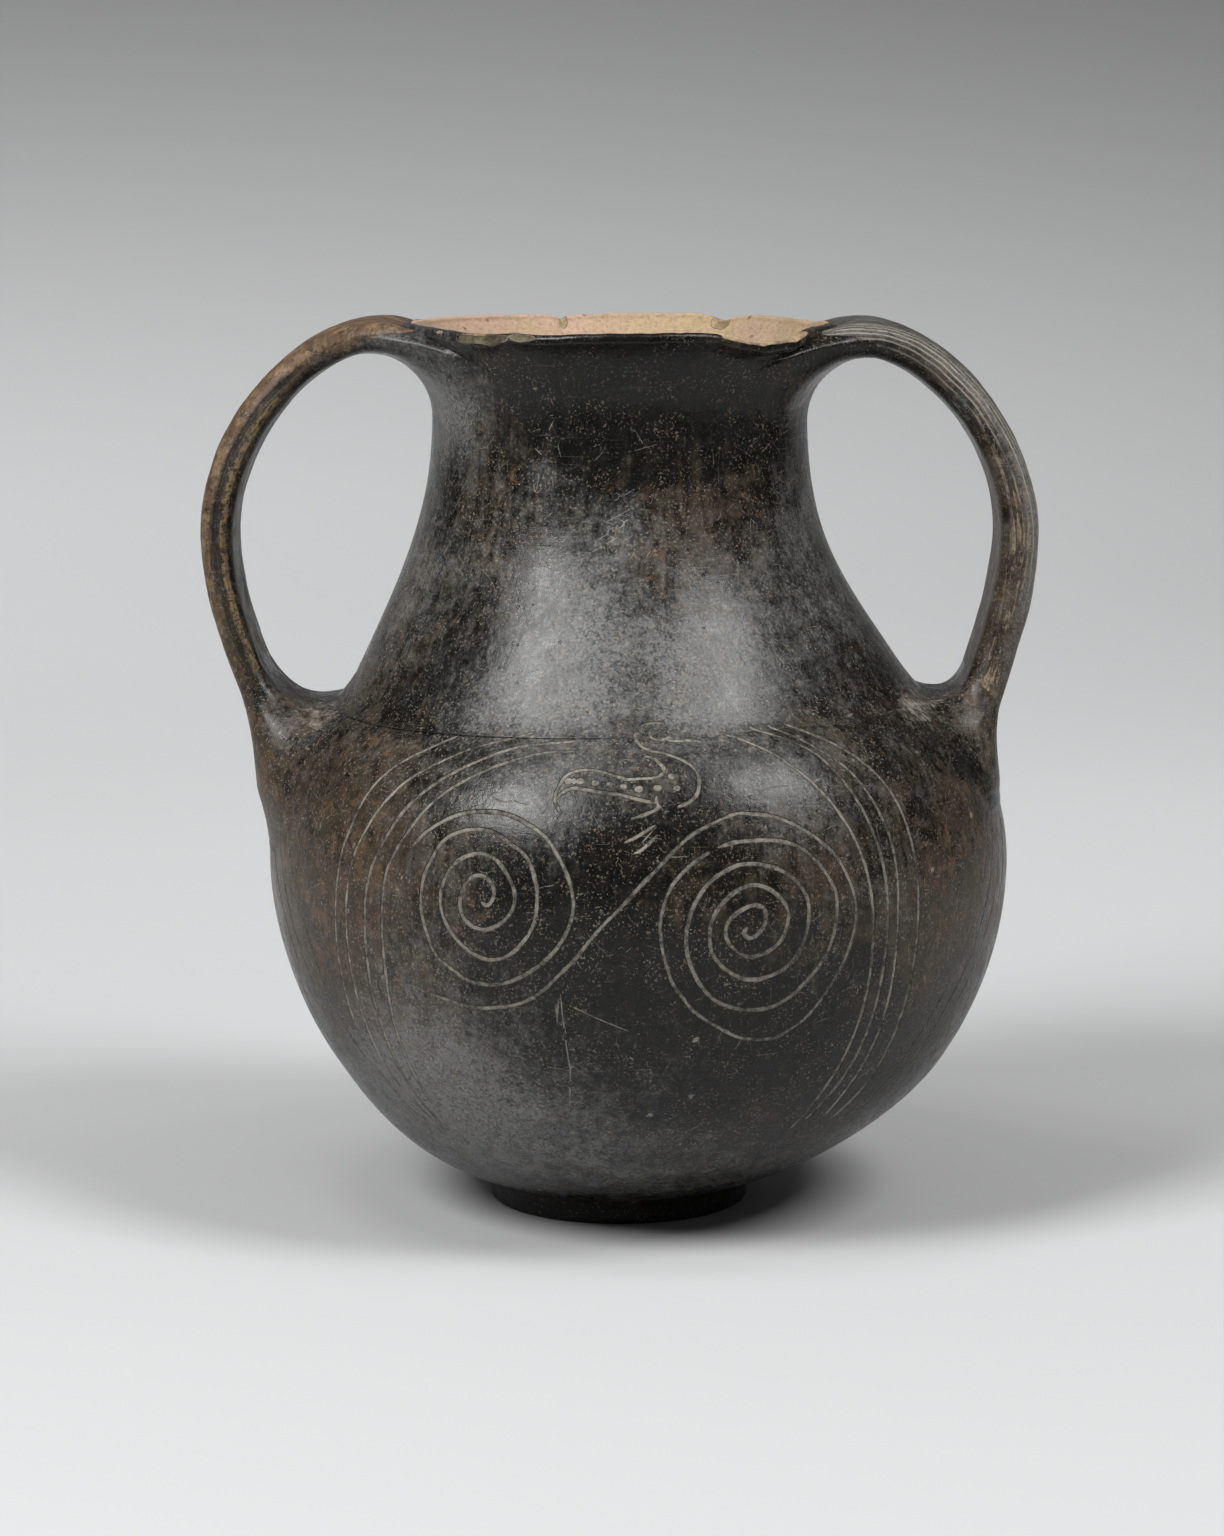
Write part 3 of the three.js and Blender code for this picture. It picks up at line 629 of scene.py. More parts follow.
LIP_BORE = LIP_RADIUS - LIP_THICKNESS
LIP_SIDE = np.array([(LIP_RADIUS, RIM_HEIGHT - LIP_FACE), (LIP_RADIUS, RIM_HEIGHT - LIP_EDGE)])
LIP_CORNER = round_corner((LIP_RADIUS - LIP_EDGE, RIM_HEIGHT - LIP_EDGE), LIP_EDGE, 0, 90, 6)
neck_outline = joined(
    [(NECK_SEAT_RADIUS - 0.4, NECK_SEAT_HEIGHT + 0.03), (NECK_SEAT_RADIUS + 0.3, NECK_SEAT_HEIGHT - 0.3)],
    resampled(bezier(
        (NECK_SEAT_RADIUS + 0.6, NECK_SEAT_HEIGHT - 0.4), (NECK_SEAT_RADIUS - 0.3, NECK_SEAT_HEIGHT + 0.14),
        (NECK_BASE_RADIUS - 0.85, NECK_SEAT_HEIGHT + 1.45), NECK_SIDE[16], count=60,
    ), 0.5),
    resampled(joined(NECK_SIDE[16:], LIP_FLARE[:128]), 0.7),
    resampled(LIP_FLARE[128:], 0.35),
    resampled(LIP_SIDE, 0.22),
    LIP_CORNER,
    resampled(np.array([(LIP_RADIUS - LIP_EDGE, RIM_HEIGHT), (LIP_BORE + LIP_INNER_EDGE, RIM_HEIGHT)]), 0.3),
    round_corner((LIP_BORE + LIP_INNER_EDGE, RIM_HEIGHT - LIP_INNER_EDGE), LIP_INNER_EDGE, 90, 90, 5),
    resampled(MOUTH_BORE[::-1][:60], 0.4),
    resampled(joined(MOUTH_BORE[::-1][59:], NECK_BORE[::-1]), 1.25),
    [(45.9, NECK_SEAT_HEIGHT + 0.04), (47.3, NECK_SEAT_HEIGHT + 0.04)],
)
lip_marks = {}

# Old scars of the lip: azimuth, height, how far out, and radii outwards, along and up
LIP_SCARS = [
    (-38, 148.9, 1.35, (2.2, 11.4, 2.3)), (-26, 149.4, 1.5, (2.1, 6.0, 1.6)), (-54, 149.7, 1.3, (1.9, 3.0, 1.4)),
    (66, 150.4, 0.6, (1.4, 2.4, 1.0)), (13, 150.5, 0.8, (1.6, 4.0, 0.9)), (128, 150.2, 1.2, (2.0, 4.6, 1.3)),
    (231, 149.8, 1.3, (2.1, 6.0, 1.7)), (176, 150.4, 0.7, (1.5, 3.2, 0.9)), (-4, 150.4, 0.9, (1.5, 3.0, 0.7)),
]


def neck_shape(grid, azimuth, rings):
    height = rings[:, 1][:, None]
    grid = hand_made(grid, "neck")
    at_lip = smooth(height, 144.5, 149.2)
    fall = lip_fall(azimuth)
    grid[..., 2] -= fall * at_lip
    out = np.stack([np.sin(azimuth), -np.cos(azimuth), 0 * azimuth], -1)
    wave = 0.22 * unevenness(np.stack([np.sin(azimuth) * 34, np.cos(azimuth) * 34, 0 * azimuth], -1), 9, 5)
    grid = grid + out * (np.minimum(wave, 0) * at_lip)[..., None]
    chip = smooth(fall, 0.55, 0.95) * smooth(height, 147.8, 149.0)
    scar = np.zeros(grid.shape[:2])
    for turn, height_at, out_by, radii in LIP_SCARS:
        grid, depth = carved(grid, turn, height_at, out_by, np.array(radii), 0.16, 3)
        scar = np.maximum(scar, depth)
    lip_marks["chip"] = chip
    lip_marks["scar"] = scar * smooth(height, 143, 146)
    return grid


neck, neck_points, neck_even = turned_piece("neck", neck_outline, 430, neck_shape, closed=True)

# Straps and the clay smeared round their ends, as distance fields on a grid

STEP = 0.42
PATH_STEP = 0.5
TABLE_STEP = 0.4


def strap_path(side, thickness, root_inset, root_splay):
    arch = (LIP_RADIUS + 2, HANDLE_TOP_HEIGHT - thickness / 2)
    widest = (HANDLE_SPAN - thickness) / 2
    root = outside_radius(HANDLE_ROOT_HEIGHT) - root_inset + side * lean_at(HANDLE_ROOT_HEIGHT)
    up = 0.5 * (arch[1] - HANDLE_WIDEST_HEIGHT)
    down = 0.33 * (HANDLE_WIDEST_HEIGHT - HANDLE_ROOT_HEIGHT)
    path = joined(
        bezier((arch[0] - 14, arch[1] - 3.5), (arch[0] - 14 / 3, arch[1]), arch, count=60),
        bezier(arch, (arch[0] + 0.49 * (widest - arch[0]), arch[1]), (widest, HANDLE_WIDEST_HEIGHT + up),
               (widest, HANDLE_WIDEST_HEIGHT)),
        bezier((widest, HANDLE_WIDEST_HEIGHT), (widest, HANDLE_WIDEST_HEIGHT - down),
               (root + root_splay, HANDLE_ROOT_HEIGHT + down), (root, HANDLE_ROOT_HEIGHT)),
    )
    return resampled(path, PATH_STEP)


def nearest_on(path, x, z):
    """For each place in the handle's plane: the path sample, the distance along the path and off to its outside."""
    run = np.gradient(path, axis=0)
    run /= np.linalg.norm(run, axis=1)[:, None]
    place = np.stack([x.ravel(), z.ravel()], 1)
    index = np.concatenate([
        ((block[:, None, :] - path[None]) ** 2).sum(2).argmin(1) for block in np.array_split(place, 60)
    ])
    step = place - path[index]
    along = (step * run[index]).sum(1)
    off = step[:, 0] * -run[index][:, 1] + step[:, 1] * run[index][:, 0]
    last = len(path) - 1
    past = np.where(index == last, np.maximum(along, 0), np.where(index == 0, np.maximum(-along, 0), 0))
    travelled = np.clip(index * PATH_STEP + along, 0, last * PATH_STEP)
    return [a.reshape(x.shape) for a in (index, travelled, off, past)]


def vessel_distance_table():
    """How far places lie outside the even vessel, by radius and height."""
    radius = np.arange(18, 82, TABLE_STEP)
    height = np.arange(52, 160, TABLE_STEP)
    r, z = np.meshgrid(radius, height, indexing="ij")
    edge = joined(resampled(OUTLINE, 0.5), resampled(LIP_SIDE, 0.3), LIP_CORNER,
                  resampled(np.array([(LIP_RADIUS - LIP_EDGE, RIM_HEIGHT), (0, RIM_HEIGHT)]), 0.5))
    place = np.stack([r.ravel(), z.ravel()], 1)
    far = np.concatenate([
        np.sqrt(((block[:, None, :] - edge[None]) ** 2).sum(2).min(1)) for block in np.array_split(place, 60)
    ]).reshape(r.shape)
    inside = (r < outside_radius(z)) & (z < RIM_HEIGHT)
    return radius, height, np.where(inside, -far, far)


VESSEL = vessel_distance_table()


def off_vessel(r, z):
    radius, height, value = VESSEL
    i = np.clip((r - radius[0]) / TABLE_STEP, 0, len(radius) - 1.001)
    j = np.clip((z - height[0]) / TABLE_STEP, 0, len(height) - 1.001)
    a, b = i.astype(int), j.astype(int)
    s, t = i - a, j - b
    low = value[a, b] * (1 - s) + value[a + 1, b] * s
    high = value[a, b + 1] * (1 - s) + value[a + 1, b + 1] * s
    return low * (1 - t) + high * t


def round_union(a, b, reach):
    """Two fields joined, with the corner between them filled round."""
    t = np.clip(0.5 + 0.5 * (b - a) / reach, 0, 1)
    return b + (a - b) * t - reach * t * (1 - t)


def strap_width(x, z):
    rim = 1 - smooth(np.abs(x), LIP_RADIUS, LIP_RADIUS + RIM_SPREAD)
    root = 1 - smooth(z, HANDLE_ROOT_HEIGHT, HANDLE_ROOT_HEIGHT + ROOT_SPREAD)
    return STRAP_WIDTH + rim * (STRAP_RIM_WIDTH - STRAP_WIDTH) + root * (STRAP_ROOT_WIDTH - STRAP_WIDTH)


def read_grid(array, places):
    """Values between a grid's points, at rows of grid coordinates."""
    places = np.clip(places, 0, np.array(array.shape) - 1.001)
    low = places.astype(int)
    t = places - low
    total = 0
    for corner in np.ndindex(2, 2, 2):
        weight = np.prod(np.where(np.array(corner) == 1, t, 1 - t), axis=1)
        i, j, k = (low + corner).T
        total = total + weight * array[i, j, k]
    return total


def largest_part(count, quads):
    """Which points belong to the largest connected part of a mesh."""
    label = np.arange(count)
    while True:
        lowest = label[quads].min(1)
        new = label.copy()
        for corner in range(4):
            np.minimum.at(new, quads[:, corner], lowest)
        new = new[new]
        if (new == label).all():
            names, counts = np.unique(label, return_counts=True)
            return label == names[counts.argmax()]
        label = new


def meshed(values, origin):
    """The zero surface of a field on a grid, with its points moved onto it, and the normals there."""
    grid = openvdb.FloatGrid(4.0)
    grid.copyFromArray(np.ascontiguousarray(values, np.float32))
    points, quads = grid.convertToQuads(0.0)
    points = points.astype(float)
    slopes = np.gradient(values)
    for _ in range(3):
        slope = np.stack([read_grid(s, points) for s in slopes], 1)
        size = np.maximum((slope ** 2).sum(1), 1e-3)
        points -= slope * np.clip(read_grid(values, points) / size, -0.6, 0.6)[:, None]
    slope = np.stack([read_grid(s, points) for s in slopes], 1)
    normals = slope / np.maximum(np.linalg.norm(slope, axis=1)[:, None], 1e-6)
    used = largest_part(len(points), quads)
    quads = (np.cumsum(used) - 1)[quads[used[quads[:, 0]]]]
    return points[used] * STEP + origin, quads.tolist(), normals[used]


def strap_pieces(side, thickness, root_inset, root_splay):
    """The strap, the web under its arch and the pad at its root, each as (points, faces, normals)."""
    path = strap_path(side, thickness, root_inset, root_splay)
    across = np.arange(15.0, 71.8, STEP)
    up = np.arange(62.0, 153.4, STEP)
    deep = np.arange(-29.0, 29.4, STEP)
    x, z = np.meshgrid(across, up, indexing="ij")
    section = [a[:, None, :] for a in strap_section(path, x, z, side, thickness)]
    travelled, off, past, half, half_width, shift, rim = section
    aside = deep[None, :, None] - shift
    share = np.abs(aside) / half_width
    outer = smooth(off, -0.5, 1.5)
    crown = half * (1 - (0.13 + 0.24 * rim * outer) * np.clip(share, 0, 1.15) ** 2)
    if side < 0:
        groove = -0.34 * np.exp(-(((half_width - np.abs(aside)) - 3.4) / 0.8) ** 2)
        swell = 0.1 * np.cos(aside * 1.1)
    else:
        groove = -0.18 * np.exp(-(((half_width - np.abs(aside)) - 3.9) / 0.9) ** 2)
        swell = 0.12 * np.cos(aside * 1.7 + 0.6)
    thick = crown + outer * (groove + swell * (1 - smooth(share, 0.5, 0.8))) * (1 - rim)
    rounding = 0.9 * half
    q = np.abs(off) - (thick - rounding)
    p = np.abs(aside) - (half_width - rounding)
    strap = np.hypot(np.maximum(q, 0), np.maximum(p, 0)) + np.minimum(np.maximum(q, p), 0) - rounding
    strap = np.where(strap > 0, np.hypot(strap, past), strap)
    x3, y3, z3 = np.meshgrid(across * side, deep, up, indexing="ij")
    place = np.stack([x3, y3, z3], -1)
    strap = strap + 0.1 * unevenness(place, 5.5, 2) + 0.05 * unevenness(place, 2.1, 3)
    flat_z = z3 - SEAT_TILT * (x3 - lean_at(z3)) * tilt_share(z3)
    radial = np.hypot(x3 - lean_at(flat_z), y3)
    vessel = off_vessel(radial, flat_z)
    wall = vessel + np.where(flat_z > NECK_SEAT_HEIGHT, pull_in(place, "neck"), pull_in(place, "belly"))
    wall = wall + 0.16 * smooth(flat_z, 142, 146)
    mouth = LIP_RADIUS - LIP_THICKNESS + 0.9 - radial - 1.2 * np.clip(RIM_HEIGHT - 2.2 - z3, 0, 6)
    roof = z3 - (RIM_HEIGHT - 0.75 + 2.5 * smooth(radial, 35.6, 43.5))
    strap = -round_union(-strap, -roof, 1.5)
    strap = -round_union(-strap, -mouth, 1.2)
    fields = {"handle": np.maximum(strap, -(vessel + 0.9))}
    hidden = 0.1
    above = smooth(off, -0.8, 1.8)
    for part, low, high, reach in (("rim_web", 112, 200, 10.6), ("root_pad", 0, 112, 16.0 if side < 0 else 9.6)):
        reach = reach * (1 - above) + 0.3 if part == "rim_web" else reach + 0 * above
        union = round_union(strap + hidden, wall + hidden, reach)
        shell = -(np.minimum(strap, wall) + 1.1)
        patch = np.maximum(np.maximum(strap, wall) - reach - 1, np.maximum(low - z3, z3 - high))
        fields[part] = np.maximum(np.maximum(union, shell), np.maximum(patch, np.maximum(mouth, roof)))
    pieces = {}
    for part, field in fields.items():
        points, faces, normals = meshed(field, np.array([0, deep[0], up[0]]))
        points[:, 0] = (points[:, 0] + across[0]) * side
        normals[:, 0] *= side
        if side < 0:
            faces = [tuple(f[::-1]) for f in faces]
        pieces[part] = (points, faces, normals)
    return pieces, path


def strap_section(path, x, z, side, thickness):
    """What a strap measures at places in its plane: how far along, how far out, and the section's sizes there."""
    index, travelled, off, past = nearest_on(path, x, z)
    total = travelled.max()
    centre = path[index]
    rim = 1 - smooth(centre[..., 0], LIP_RADIUS, LIP_RADIUS + RIM_SPREAD)
    shift = 0.7 * np.sin(travelled / 21 + (1.1 if side < 0 else 2.6)) * smooth(travelled, 18, 40)
    shift *= 1 - smooth(travelled, total - 30, total - 8)
    half_width = strap_width(centre[..., 0], centre[..., 1]) / 2 - 0.25 + 0.3 * np.sin(travelled / 9 + side)
    half = thickness / 2 - 0.3 + 0.2 * np.sin(travelled / 13 + 2 * side) * smooth(travelled, 30, 50)
    half -= 0.1 * (1 - smooth(travelled, 16, 42))
    return travelled, off, past, half, half_width, shift, rim


def along_strap(points, path, side, thickness):
    """For points of a strap: how far along, how far out, and how far round the section from its outer face."""
    section = strap_section(path, points[:, 0] * side, points[:, 2], side, thickness)
    travelled, off, _, half, half_width, shift, _ = section
    aside = np.abs(points[:, 1] - shift)
    edge = aside - (half_width - half)
    around = np.where(edge > 0, half * np.arctan2(np.maximum(edge, 1e-6), off),
                      np.where(off > 0, edge, half * np.pi - edge))
    return travelled, off, around, half_width


# Materials

class Tree:
    """A material's nodes. A value is a socket or a plain number, and sizes are millimetres."""

    def __init__(self, name):
        self.material = bpy.data.materials.new(name)
        self.material.use_nodes = True
        self.tree = self.material.node_tree
        self.tree.nodes.clear()
        self.shader = self.add("ShaderNodeBsdfPrincipled")
        self.tree.links.new(self.shader.outputs[0], self.add("ShaderNodeOutputMaterial").inputs[0])
        self.place = self.add("ShaderNodeTexCoord").outputs["Object"]

    def add(self, kind, inputs=None, **settings):
        node = self.tree.nodes.new(kind)
        for key, value in settings.items():
            setattr(node, key, value)
        for key, value in (inputs or {}).items():
            self.feed(node.inputs[key], value)
        return node

    def feed(self, socket, value):
        if isinstance(value, bpy.types.NodeSocket):
            self.tree.links.new(value, socket)
        else:
            socket.default_value = value

    def math(self, operation, *values):
        result = values[0]
        for value in values[1:]:
            result = self.add("ShaderNodeMath", {0: result, 1: value}, operation=operation).outputs[0]
        return result

    def total(self, *values):
        return self.math("ADD", *values)

    def times(self, *values):
        return self.math("MULTIPLY", *values)

    def most(self, *values):
        return self.math("MAXIMUM", *values)

    def size_of(self, value):
        return self.add("ShaderNodeMath", {0: value}, operation="ABSOLUTE").outputs[0]

    def inverse(self, value):
        return self.math("SUBTRACT", 1.0, value)

    def swing(self, value, amount):
        """A noise value turned into a swing about zero."""
        return self.times(self.math("SUBTRACT", value, 0.5), amount)

    def ramp(self, value, low, high, bottom=0.0, top=1.0):
        node = self.add("ShaderNodeMapRange", {0: value, 1: low, 2: high, 3: bottom, 4: top})
        node.interpolation_type = "SMOOTHSTEP"
        return node.outputs[0]

    def mix(self, share, a, b):
        return self.add("ShaderNodeMix", {0: share, 6: a, 7: b}, data_type="RGBA").outputs[2]

    def stretched(self, x, y, z, turn=(0, 0, 0), source=None, unit=1000):
        """Coordinates turned and then divided by three sizes in millimetres."""
        node = self.add("ShaderNodeMapping", {"Vector": source or self.place, "Rotation": turn})
        node.inputs["Scale"].default_value = (unit / x, unit / y, unit / z)
        return node.outputs[0]

    def noise(self, size=1.0, detail=2.0, rough=0.5, warp=0.0, where=None):
        node = self.add("ShaderNodeTexNoise", {
            "Vector": where or self.place, "Scale": 1.0 if where else 1000 / size, "Detail": detail,
            "Roughness": rough, "Distortion": warp,
        })
        return node.outputs["Fac"]

    def cells(self, size):
        """The way to the nearest cell's middle, and two values drawn for that cell."""
        node = self.add("ShaderNodeTexVoronoi", {"Vector": self.place, "Scale": 1000 / size})
        chance = self.add("ShaderNodeSeparateColor", {0: node.outputs["Color"]})
        return node.outputs["Distance"], chance.outputs[0], chance.outputs[1]

    def number(self, name):
        return self.add("ShaderNodeAttribute", attribute_name=name).outputs["Fac"]

    def vector(self, name):
        return self.add("ShaderNodeAttribute", attribute_name=name).outputs["Vector"]

    def past_edge(self, name, ragged, margin=0.5):
        """How far the surface is past the edge of the nearest line of a set, in millimetres."""
        length = self.add("ShaderNodeVectorMath", {0: self.vector(name + "_way")}, operation="LENGTH").outputs["Value"]
        far = self.most(length, self.math("SUBTRACT", self.number(name + "_far"), margin))
        return self.math("SUBTRACT", self.total(far, ragged), self.number(name + "_width"))


def grey(value, warm=0.0):
    return (value * (1 + warm), value, value * (1 - warm * 1.4), 1.0)


# The fired body from black to tan, its soil, the filled lines, and the bare clay of the mouth
CHAR = (0.0036, 0.0037, 0.0035, 1)
SOOT = (0.0100, 0.0095, 0.0080, 1)
UMBER = (0.046, 0.035, 0.0215, 1)
RUST = (0.125, 0.072, 0.040, 1)
TAN = (0.285, 0.185, 0.11, 1)
GOLD = (0.34, 0.235, 0.115, 1)
OLIVE = (0.15, 0.13, 0.08, 1)
HAZE_AND_SHEEN = (0.185, 0.189, 0.192, 1)
DUST = (0.33, 0.30, 0.25, 1)
FILL = (0.44, 0.41, 0.35, 1)
BUFF = (0.405, 0.297, 0.175, 1)
PINK = (0.46, 0.31, 0.225, 1)
BARE_STAIN = (0.25, 0.165, 0.095, 1)
BARE_GRAIN = (0.56, 0.45, 0.33, 1)
BARE_PIT = (0.12, 0.085, 0.055, 1)
BARE_SHADE = (0.115, 0.088, 0.06, 1)
CHIP_STAIN = (0.2, 0.14, 0.085, 1)
BLACK = (0.0, 0.0, 0.0, 1)

# Lines drawn along the right strap: how far round the section, where they start and end, and how pale they are
STRAP_LINES = [
    (0.7, 9, 66, 0.8), (1.5, 7, 84, 1.0), (2.3, 8, 56, 0.8), (3.1, 10, 78, 1.0), (4.0, 8, 50, 0.9), (4.9, 12, 64, 0.7),
    (6.0, 16, 46, 0.5),
]
# How far round the section the right strap's gold streak and the left strap's rib run
GOLD_STREAK = 5.4
GOLD_RIB = 6.0


class Shared:
    """The noises that several layers of one material use, and what a piece carries for them."""

    def __init__(self, t, strap):
        self.tree = t
        self.dust = t.noise(0.42, 2, 0.6)
        self.grain = t.noise(0.95, 4, 0.66)
        self.fleck = t.noise(2.4, 6, 0.7, 0.2)
        self.mottle = t.noise(7.5, 9, 0.72, 0.5)
        self.cloud = t.noise(27.0, 5, 0.6, 0.3)
        self.level = t.noise(detail=5, rough=0.65, warp=0.3, where=t.stretched(14, 14, 1.1))
        self.brown_zone, self.bloom_zone, self.smear_zone = t.number("brown"), t.number("bloom"), t.number("smear")
        if not strap:
            self.upright = t.noise(detail=5, rough=0.65, warp=0.3, where=t.stretched(1.3, 1.3, 13))
            self.fibre = t.noise(detail=2, rough=0.6, warp=0.2, where=t.stretched(9, 9, 0.32))
            return
        self.flow = t.vector("flow")
        self.travelled = t.add("ShaderNodeSeparateXYZ", {0: self.flow}).outputs[0]
        self.upright = t.noise(detail=6, rough=0.72, warp=0.25, where=self.along(20, 0.9, 0.9))
        self.fibre = t.noise(detail=2, rough=0.6, warp=0.1, where=self.along(20, 0.3, 0.3))
        self.streak = t.noise(detail=5, rough=0.7, warp=0.15, where=self.along(22, 0.5, 0.5))
        self.around = t.total(t.number("around"), t.swing(t.noise(detail=1, where=self.along(7, 40, 40)), 0.9))

    def along(self, x, y, z):
        """A strap's own coordinates, stretched: along it, across it, and off to its outside."""
        return self.tree.stretched(x, y, z, source=self.flow, unit=1)


def charcoal(t, n, brown):
    """Charcoal black to umber, in broken patches, with rust brown flecks."""
    umber = t.ramp(t.total(t.times(n.mottle, 0.8), t.times(n.cloud, 0.4), t.times(n.upright, 0.35),
                           t.times(n.brown_zone, 0.16), brown), 0.8, 0.95)
    colour = t.mix(t.ramp(t.total(n.fleck, t.times(n.cloud, 0.5)), 0.58, 0.92), CHAR, SOOT)
    colour = t.mix(t.times(umber, t.ramp(n.fleck, 0.3, 0.6, 0.3, 1.0)), colour, UMBER)
    rust = t.ramp(t.total(t.noise(3.6, 8, 0.74, 0.7), t.times(n.brown_zone, 0.085), brown), 0.6, 0.7)
    colour = t.mix(t.times(rust, t.ramp(n.grain, 0.35, 0.7, 0.3, 0.9)), colour, RUST)
    return colour, umber


def hazed_with_painted_light(t, n, colour, bloom):
    """Worn grey haze, with the painted highlights and painted shade of the zones, broken up by the grain."""
    haze = t.ramp(t.total(t.times(t.noise(4.2, 10, 0.8, 0.3), 0.65), t.times(n.cloud, 0.25), t.times(n.level, 0.15),
                          t.times(n.upright, 0.25), t.times(n.bloom_zone, 0.24), bloom), 0.6, 1.0)
    pepper = t.ramp(t.total(n.grain, t.times(n.fleck, 0.4), t.times(n.dust, 0.8)), 0.88, 1.3, 0.3, 1.0)
    haze = t.times(haze, pepper)
    return t.mix(haze, colour, t.mix(t.ramp(n.dust, 0.45, 0.68, 0.0, 0.5), HAZE_AND_SHEEN, DUST)), haze


def smeared(t, n, colour):
    """Pale smears of clay and dust."""
    smear = t.ramp(t.total(t.times(t.noise(2.6, 10, 0.8, 1.2), 0.9), t.times(n.upright, 0.2),
                           t.times(n.smear_zone, 0.27)), 0.74, 0.92)
    broken = t.ramp(t.total(n.grain, t.times(n.dust, 0.4), t.swing(n.fleck, 0.8)), 0.52, 0.92, 0.08, 1.0)
    smear = t.times(smear, broken)
    return t.mix(t.times(smear, 0.9), colour, DUST), smear


def specked(t, n, colour):
    """Fine pale specks, rust and dust blots, and a few larger grains of grit."""
    dusty = t.ramp(t.total(t.noise(5, 6, 0.7), t.times(n.brown_zone, 0.06), t.times(n.smear_zone, 0.06)),
                   0.38, 0.6, 0.12, 1.0)
    speck = t.times(t.ramp(t.total(n.dust, t.swing(n.grain, 0.25)), 0.57, 0.68), dusty)
    colour = t.mix(t.times(speck, 0.6), colour, t.mix(t.cells(2.1)[2], DUST, TAN))
    blot = t.times(t.ramp(t.noise(1.5, 5, 0.72, 0.4), 0.625, 0.7), t.ramp(dusty, 0.0, 1.0, 0.2, 1.0),
                   t.ramp(t.noise(7, 3, 0.6), 0.35, 0.65, 0.25, 0.75))
    colour = t.mix(blot, colour, t.mix(t.ramp(n.cloud, 0.4, 0.6), RUST, DUST))
    near, chance, tone = t.cells(6.5)
    ragged = t.total(near, t.swing(n.dust, 0.16), t.swing(n.grain, 0.2))
    grit = t.times(t.ramp(ragged, 0.085, 0.045), t.ramp(chance, 0.6, 0.68))
    return t.mix(t.times(grit, t.ramp(tone, 0, 1, 0.25, 0.7)), colour, DUST), grit


def hairlined(t, n, colour, strap):
    """Hairline wear, in three directions and along the piece."""
    hairs = t.times(t.ramp(n.fibre, 0.66, 0.78), 0.8 if strap else 0.35)
    for turn, size in (((0.35, 0.5, 0.2), (0.15, 6, 6)), ((-0.5, 0.9, -0.4), (7, 0.16, 7)),
                       ((0.2, -0.1, 0.7), (5, 5, 0.15))):
        line = t.ramp(t.noise(detail=1, rough=0.4, warp=0.5, where=t.stretched(*size, turn)), 0.72, 0.8)
        hairs = t.most(hairs, t.times(line, t.ramp(t.noise(4.5 + size[0] / 9, 3, 0.6), 0.48, 0.62)))
    return t.mix(t.times(hairs, 0.5 if strap else 0.3), colour, DUST), hairs


def left_strap(t, n, colour):
    """A tan outer face, and along the edge a pitted golden rib with a dark line beside it."""
    tan = t.ramp(t.total(t.number("tan"), t.swing(t.noise(3.2, 9, 0.78, 0.8), 2.4), t.swing(n.streak, 1.8)), 0.3, 0.75)
    broken = t.ramp(t.total(n.grain, t.times(n.fleck, 0.7), t.times(n.dust, 0.3)), 0.74, 1.16, 0.08, 1.0)
    colour = t.mix(t.times(tan, broken, 0.95), colour, t.mix(t.ramp(t.noise(3.0, 7, 0.75), 0.38, 0.56), TAN, RUST))
    gap = t.math("SUBTRACT", n.around, GOLD_RIB)
    rib = t.ramp(t.size_of(t.total(gap, t.swing(n.grain, 0.8))), 0.85, 0.3)
    rib = t.times(rib, t.ramp(n.travelled, 30, 42), t.ramp(n.travelled, 116, 96))
    pits = t.ramp(t.noise(1.1, 4, 0.7), 0.36, 0.6)
    broken = t.times(t.ramp(pits, 0, 1, 0.1, 0.85), t.ramp(n.upright, 0.3, 0.62, 0.35, 1.0))
    colour = t.mix(t.times(rib, broken), colour, GOLD)
    beside = t.times(t.ramp(t.size_of(t.total(gap, 1.3)), 0.7, 0.2), t.ramp(n.travelled, 24, 36))
    colour = t.mix(t.times(beside, t.ramp(n.mottle, 0.35, 0.6, 0.1, 0.6)), colour, CHAR)
    return colour, t.total(t.times(beside, 0.7), t.times(rib, t.inverse(pits), 0.5))


def right_strap(t, n, colour):
    """Fine pale lines drawn along the strap, and a golden streak below them."""
    off_streak = t.size_of(t.math("SUBTRACT", t.total(t.number("around"), t.swing(n.upright, 4.0)), GOLD_STREAK))
    gold = t.times(t.ramp(off_streak, 2.6, 0.7), t.ramp(n.travelled, 24, 46),
                   t.ramp(t.total(n.streak, t.swing(n.mottle, 0.8)), 0.5, 0.6), t.ramp(n.grain, 0.35, 0.65, 0.3, 1.0))
    colour = t.mix(gold, colour, t.mix(n.fleck, GOLD, DUST))
    drawn = 0.0
    for number, (place, start, end, pale) in enumerate(STRAP_LINES):
        gap = t.size_of(t.math("SUBTRACT", t.total(n.around, t.swing(n.grain, 0.25)), place))
        worn = t.noise(detail=5, rough=0.7, where=n.along(6 + number, 5, 5))
        line = t.times(t.ramp(gap, 0.24, 0.1), t.ramp(n.travelled, start, start + 3),
                       t.ramp(n.travelled, end, end - 14), t.ramp(worn, 0.36, 0.56, 0.15, 1.0), pale)
        drawn = t.most(drawn, line)
    return t.mix(drawn, colour, DUST), t.times(drawn, 0.35)


def scratched(t, n, colour):
    """Accidental scratches, as far as they show."""
    scratch = t.ramp(t.past_edge("scratch", t.swing(n.grain, 0.1)), 0.05, -0.04)
    shown = t.times(scratch, t.number("scratch_pale"), t.ramp(n.fleck, 0.35, 0.6, 0.3, 1.0))
    return t.mix(shown, colour, FILL), scratch


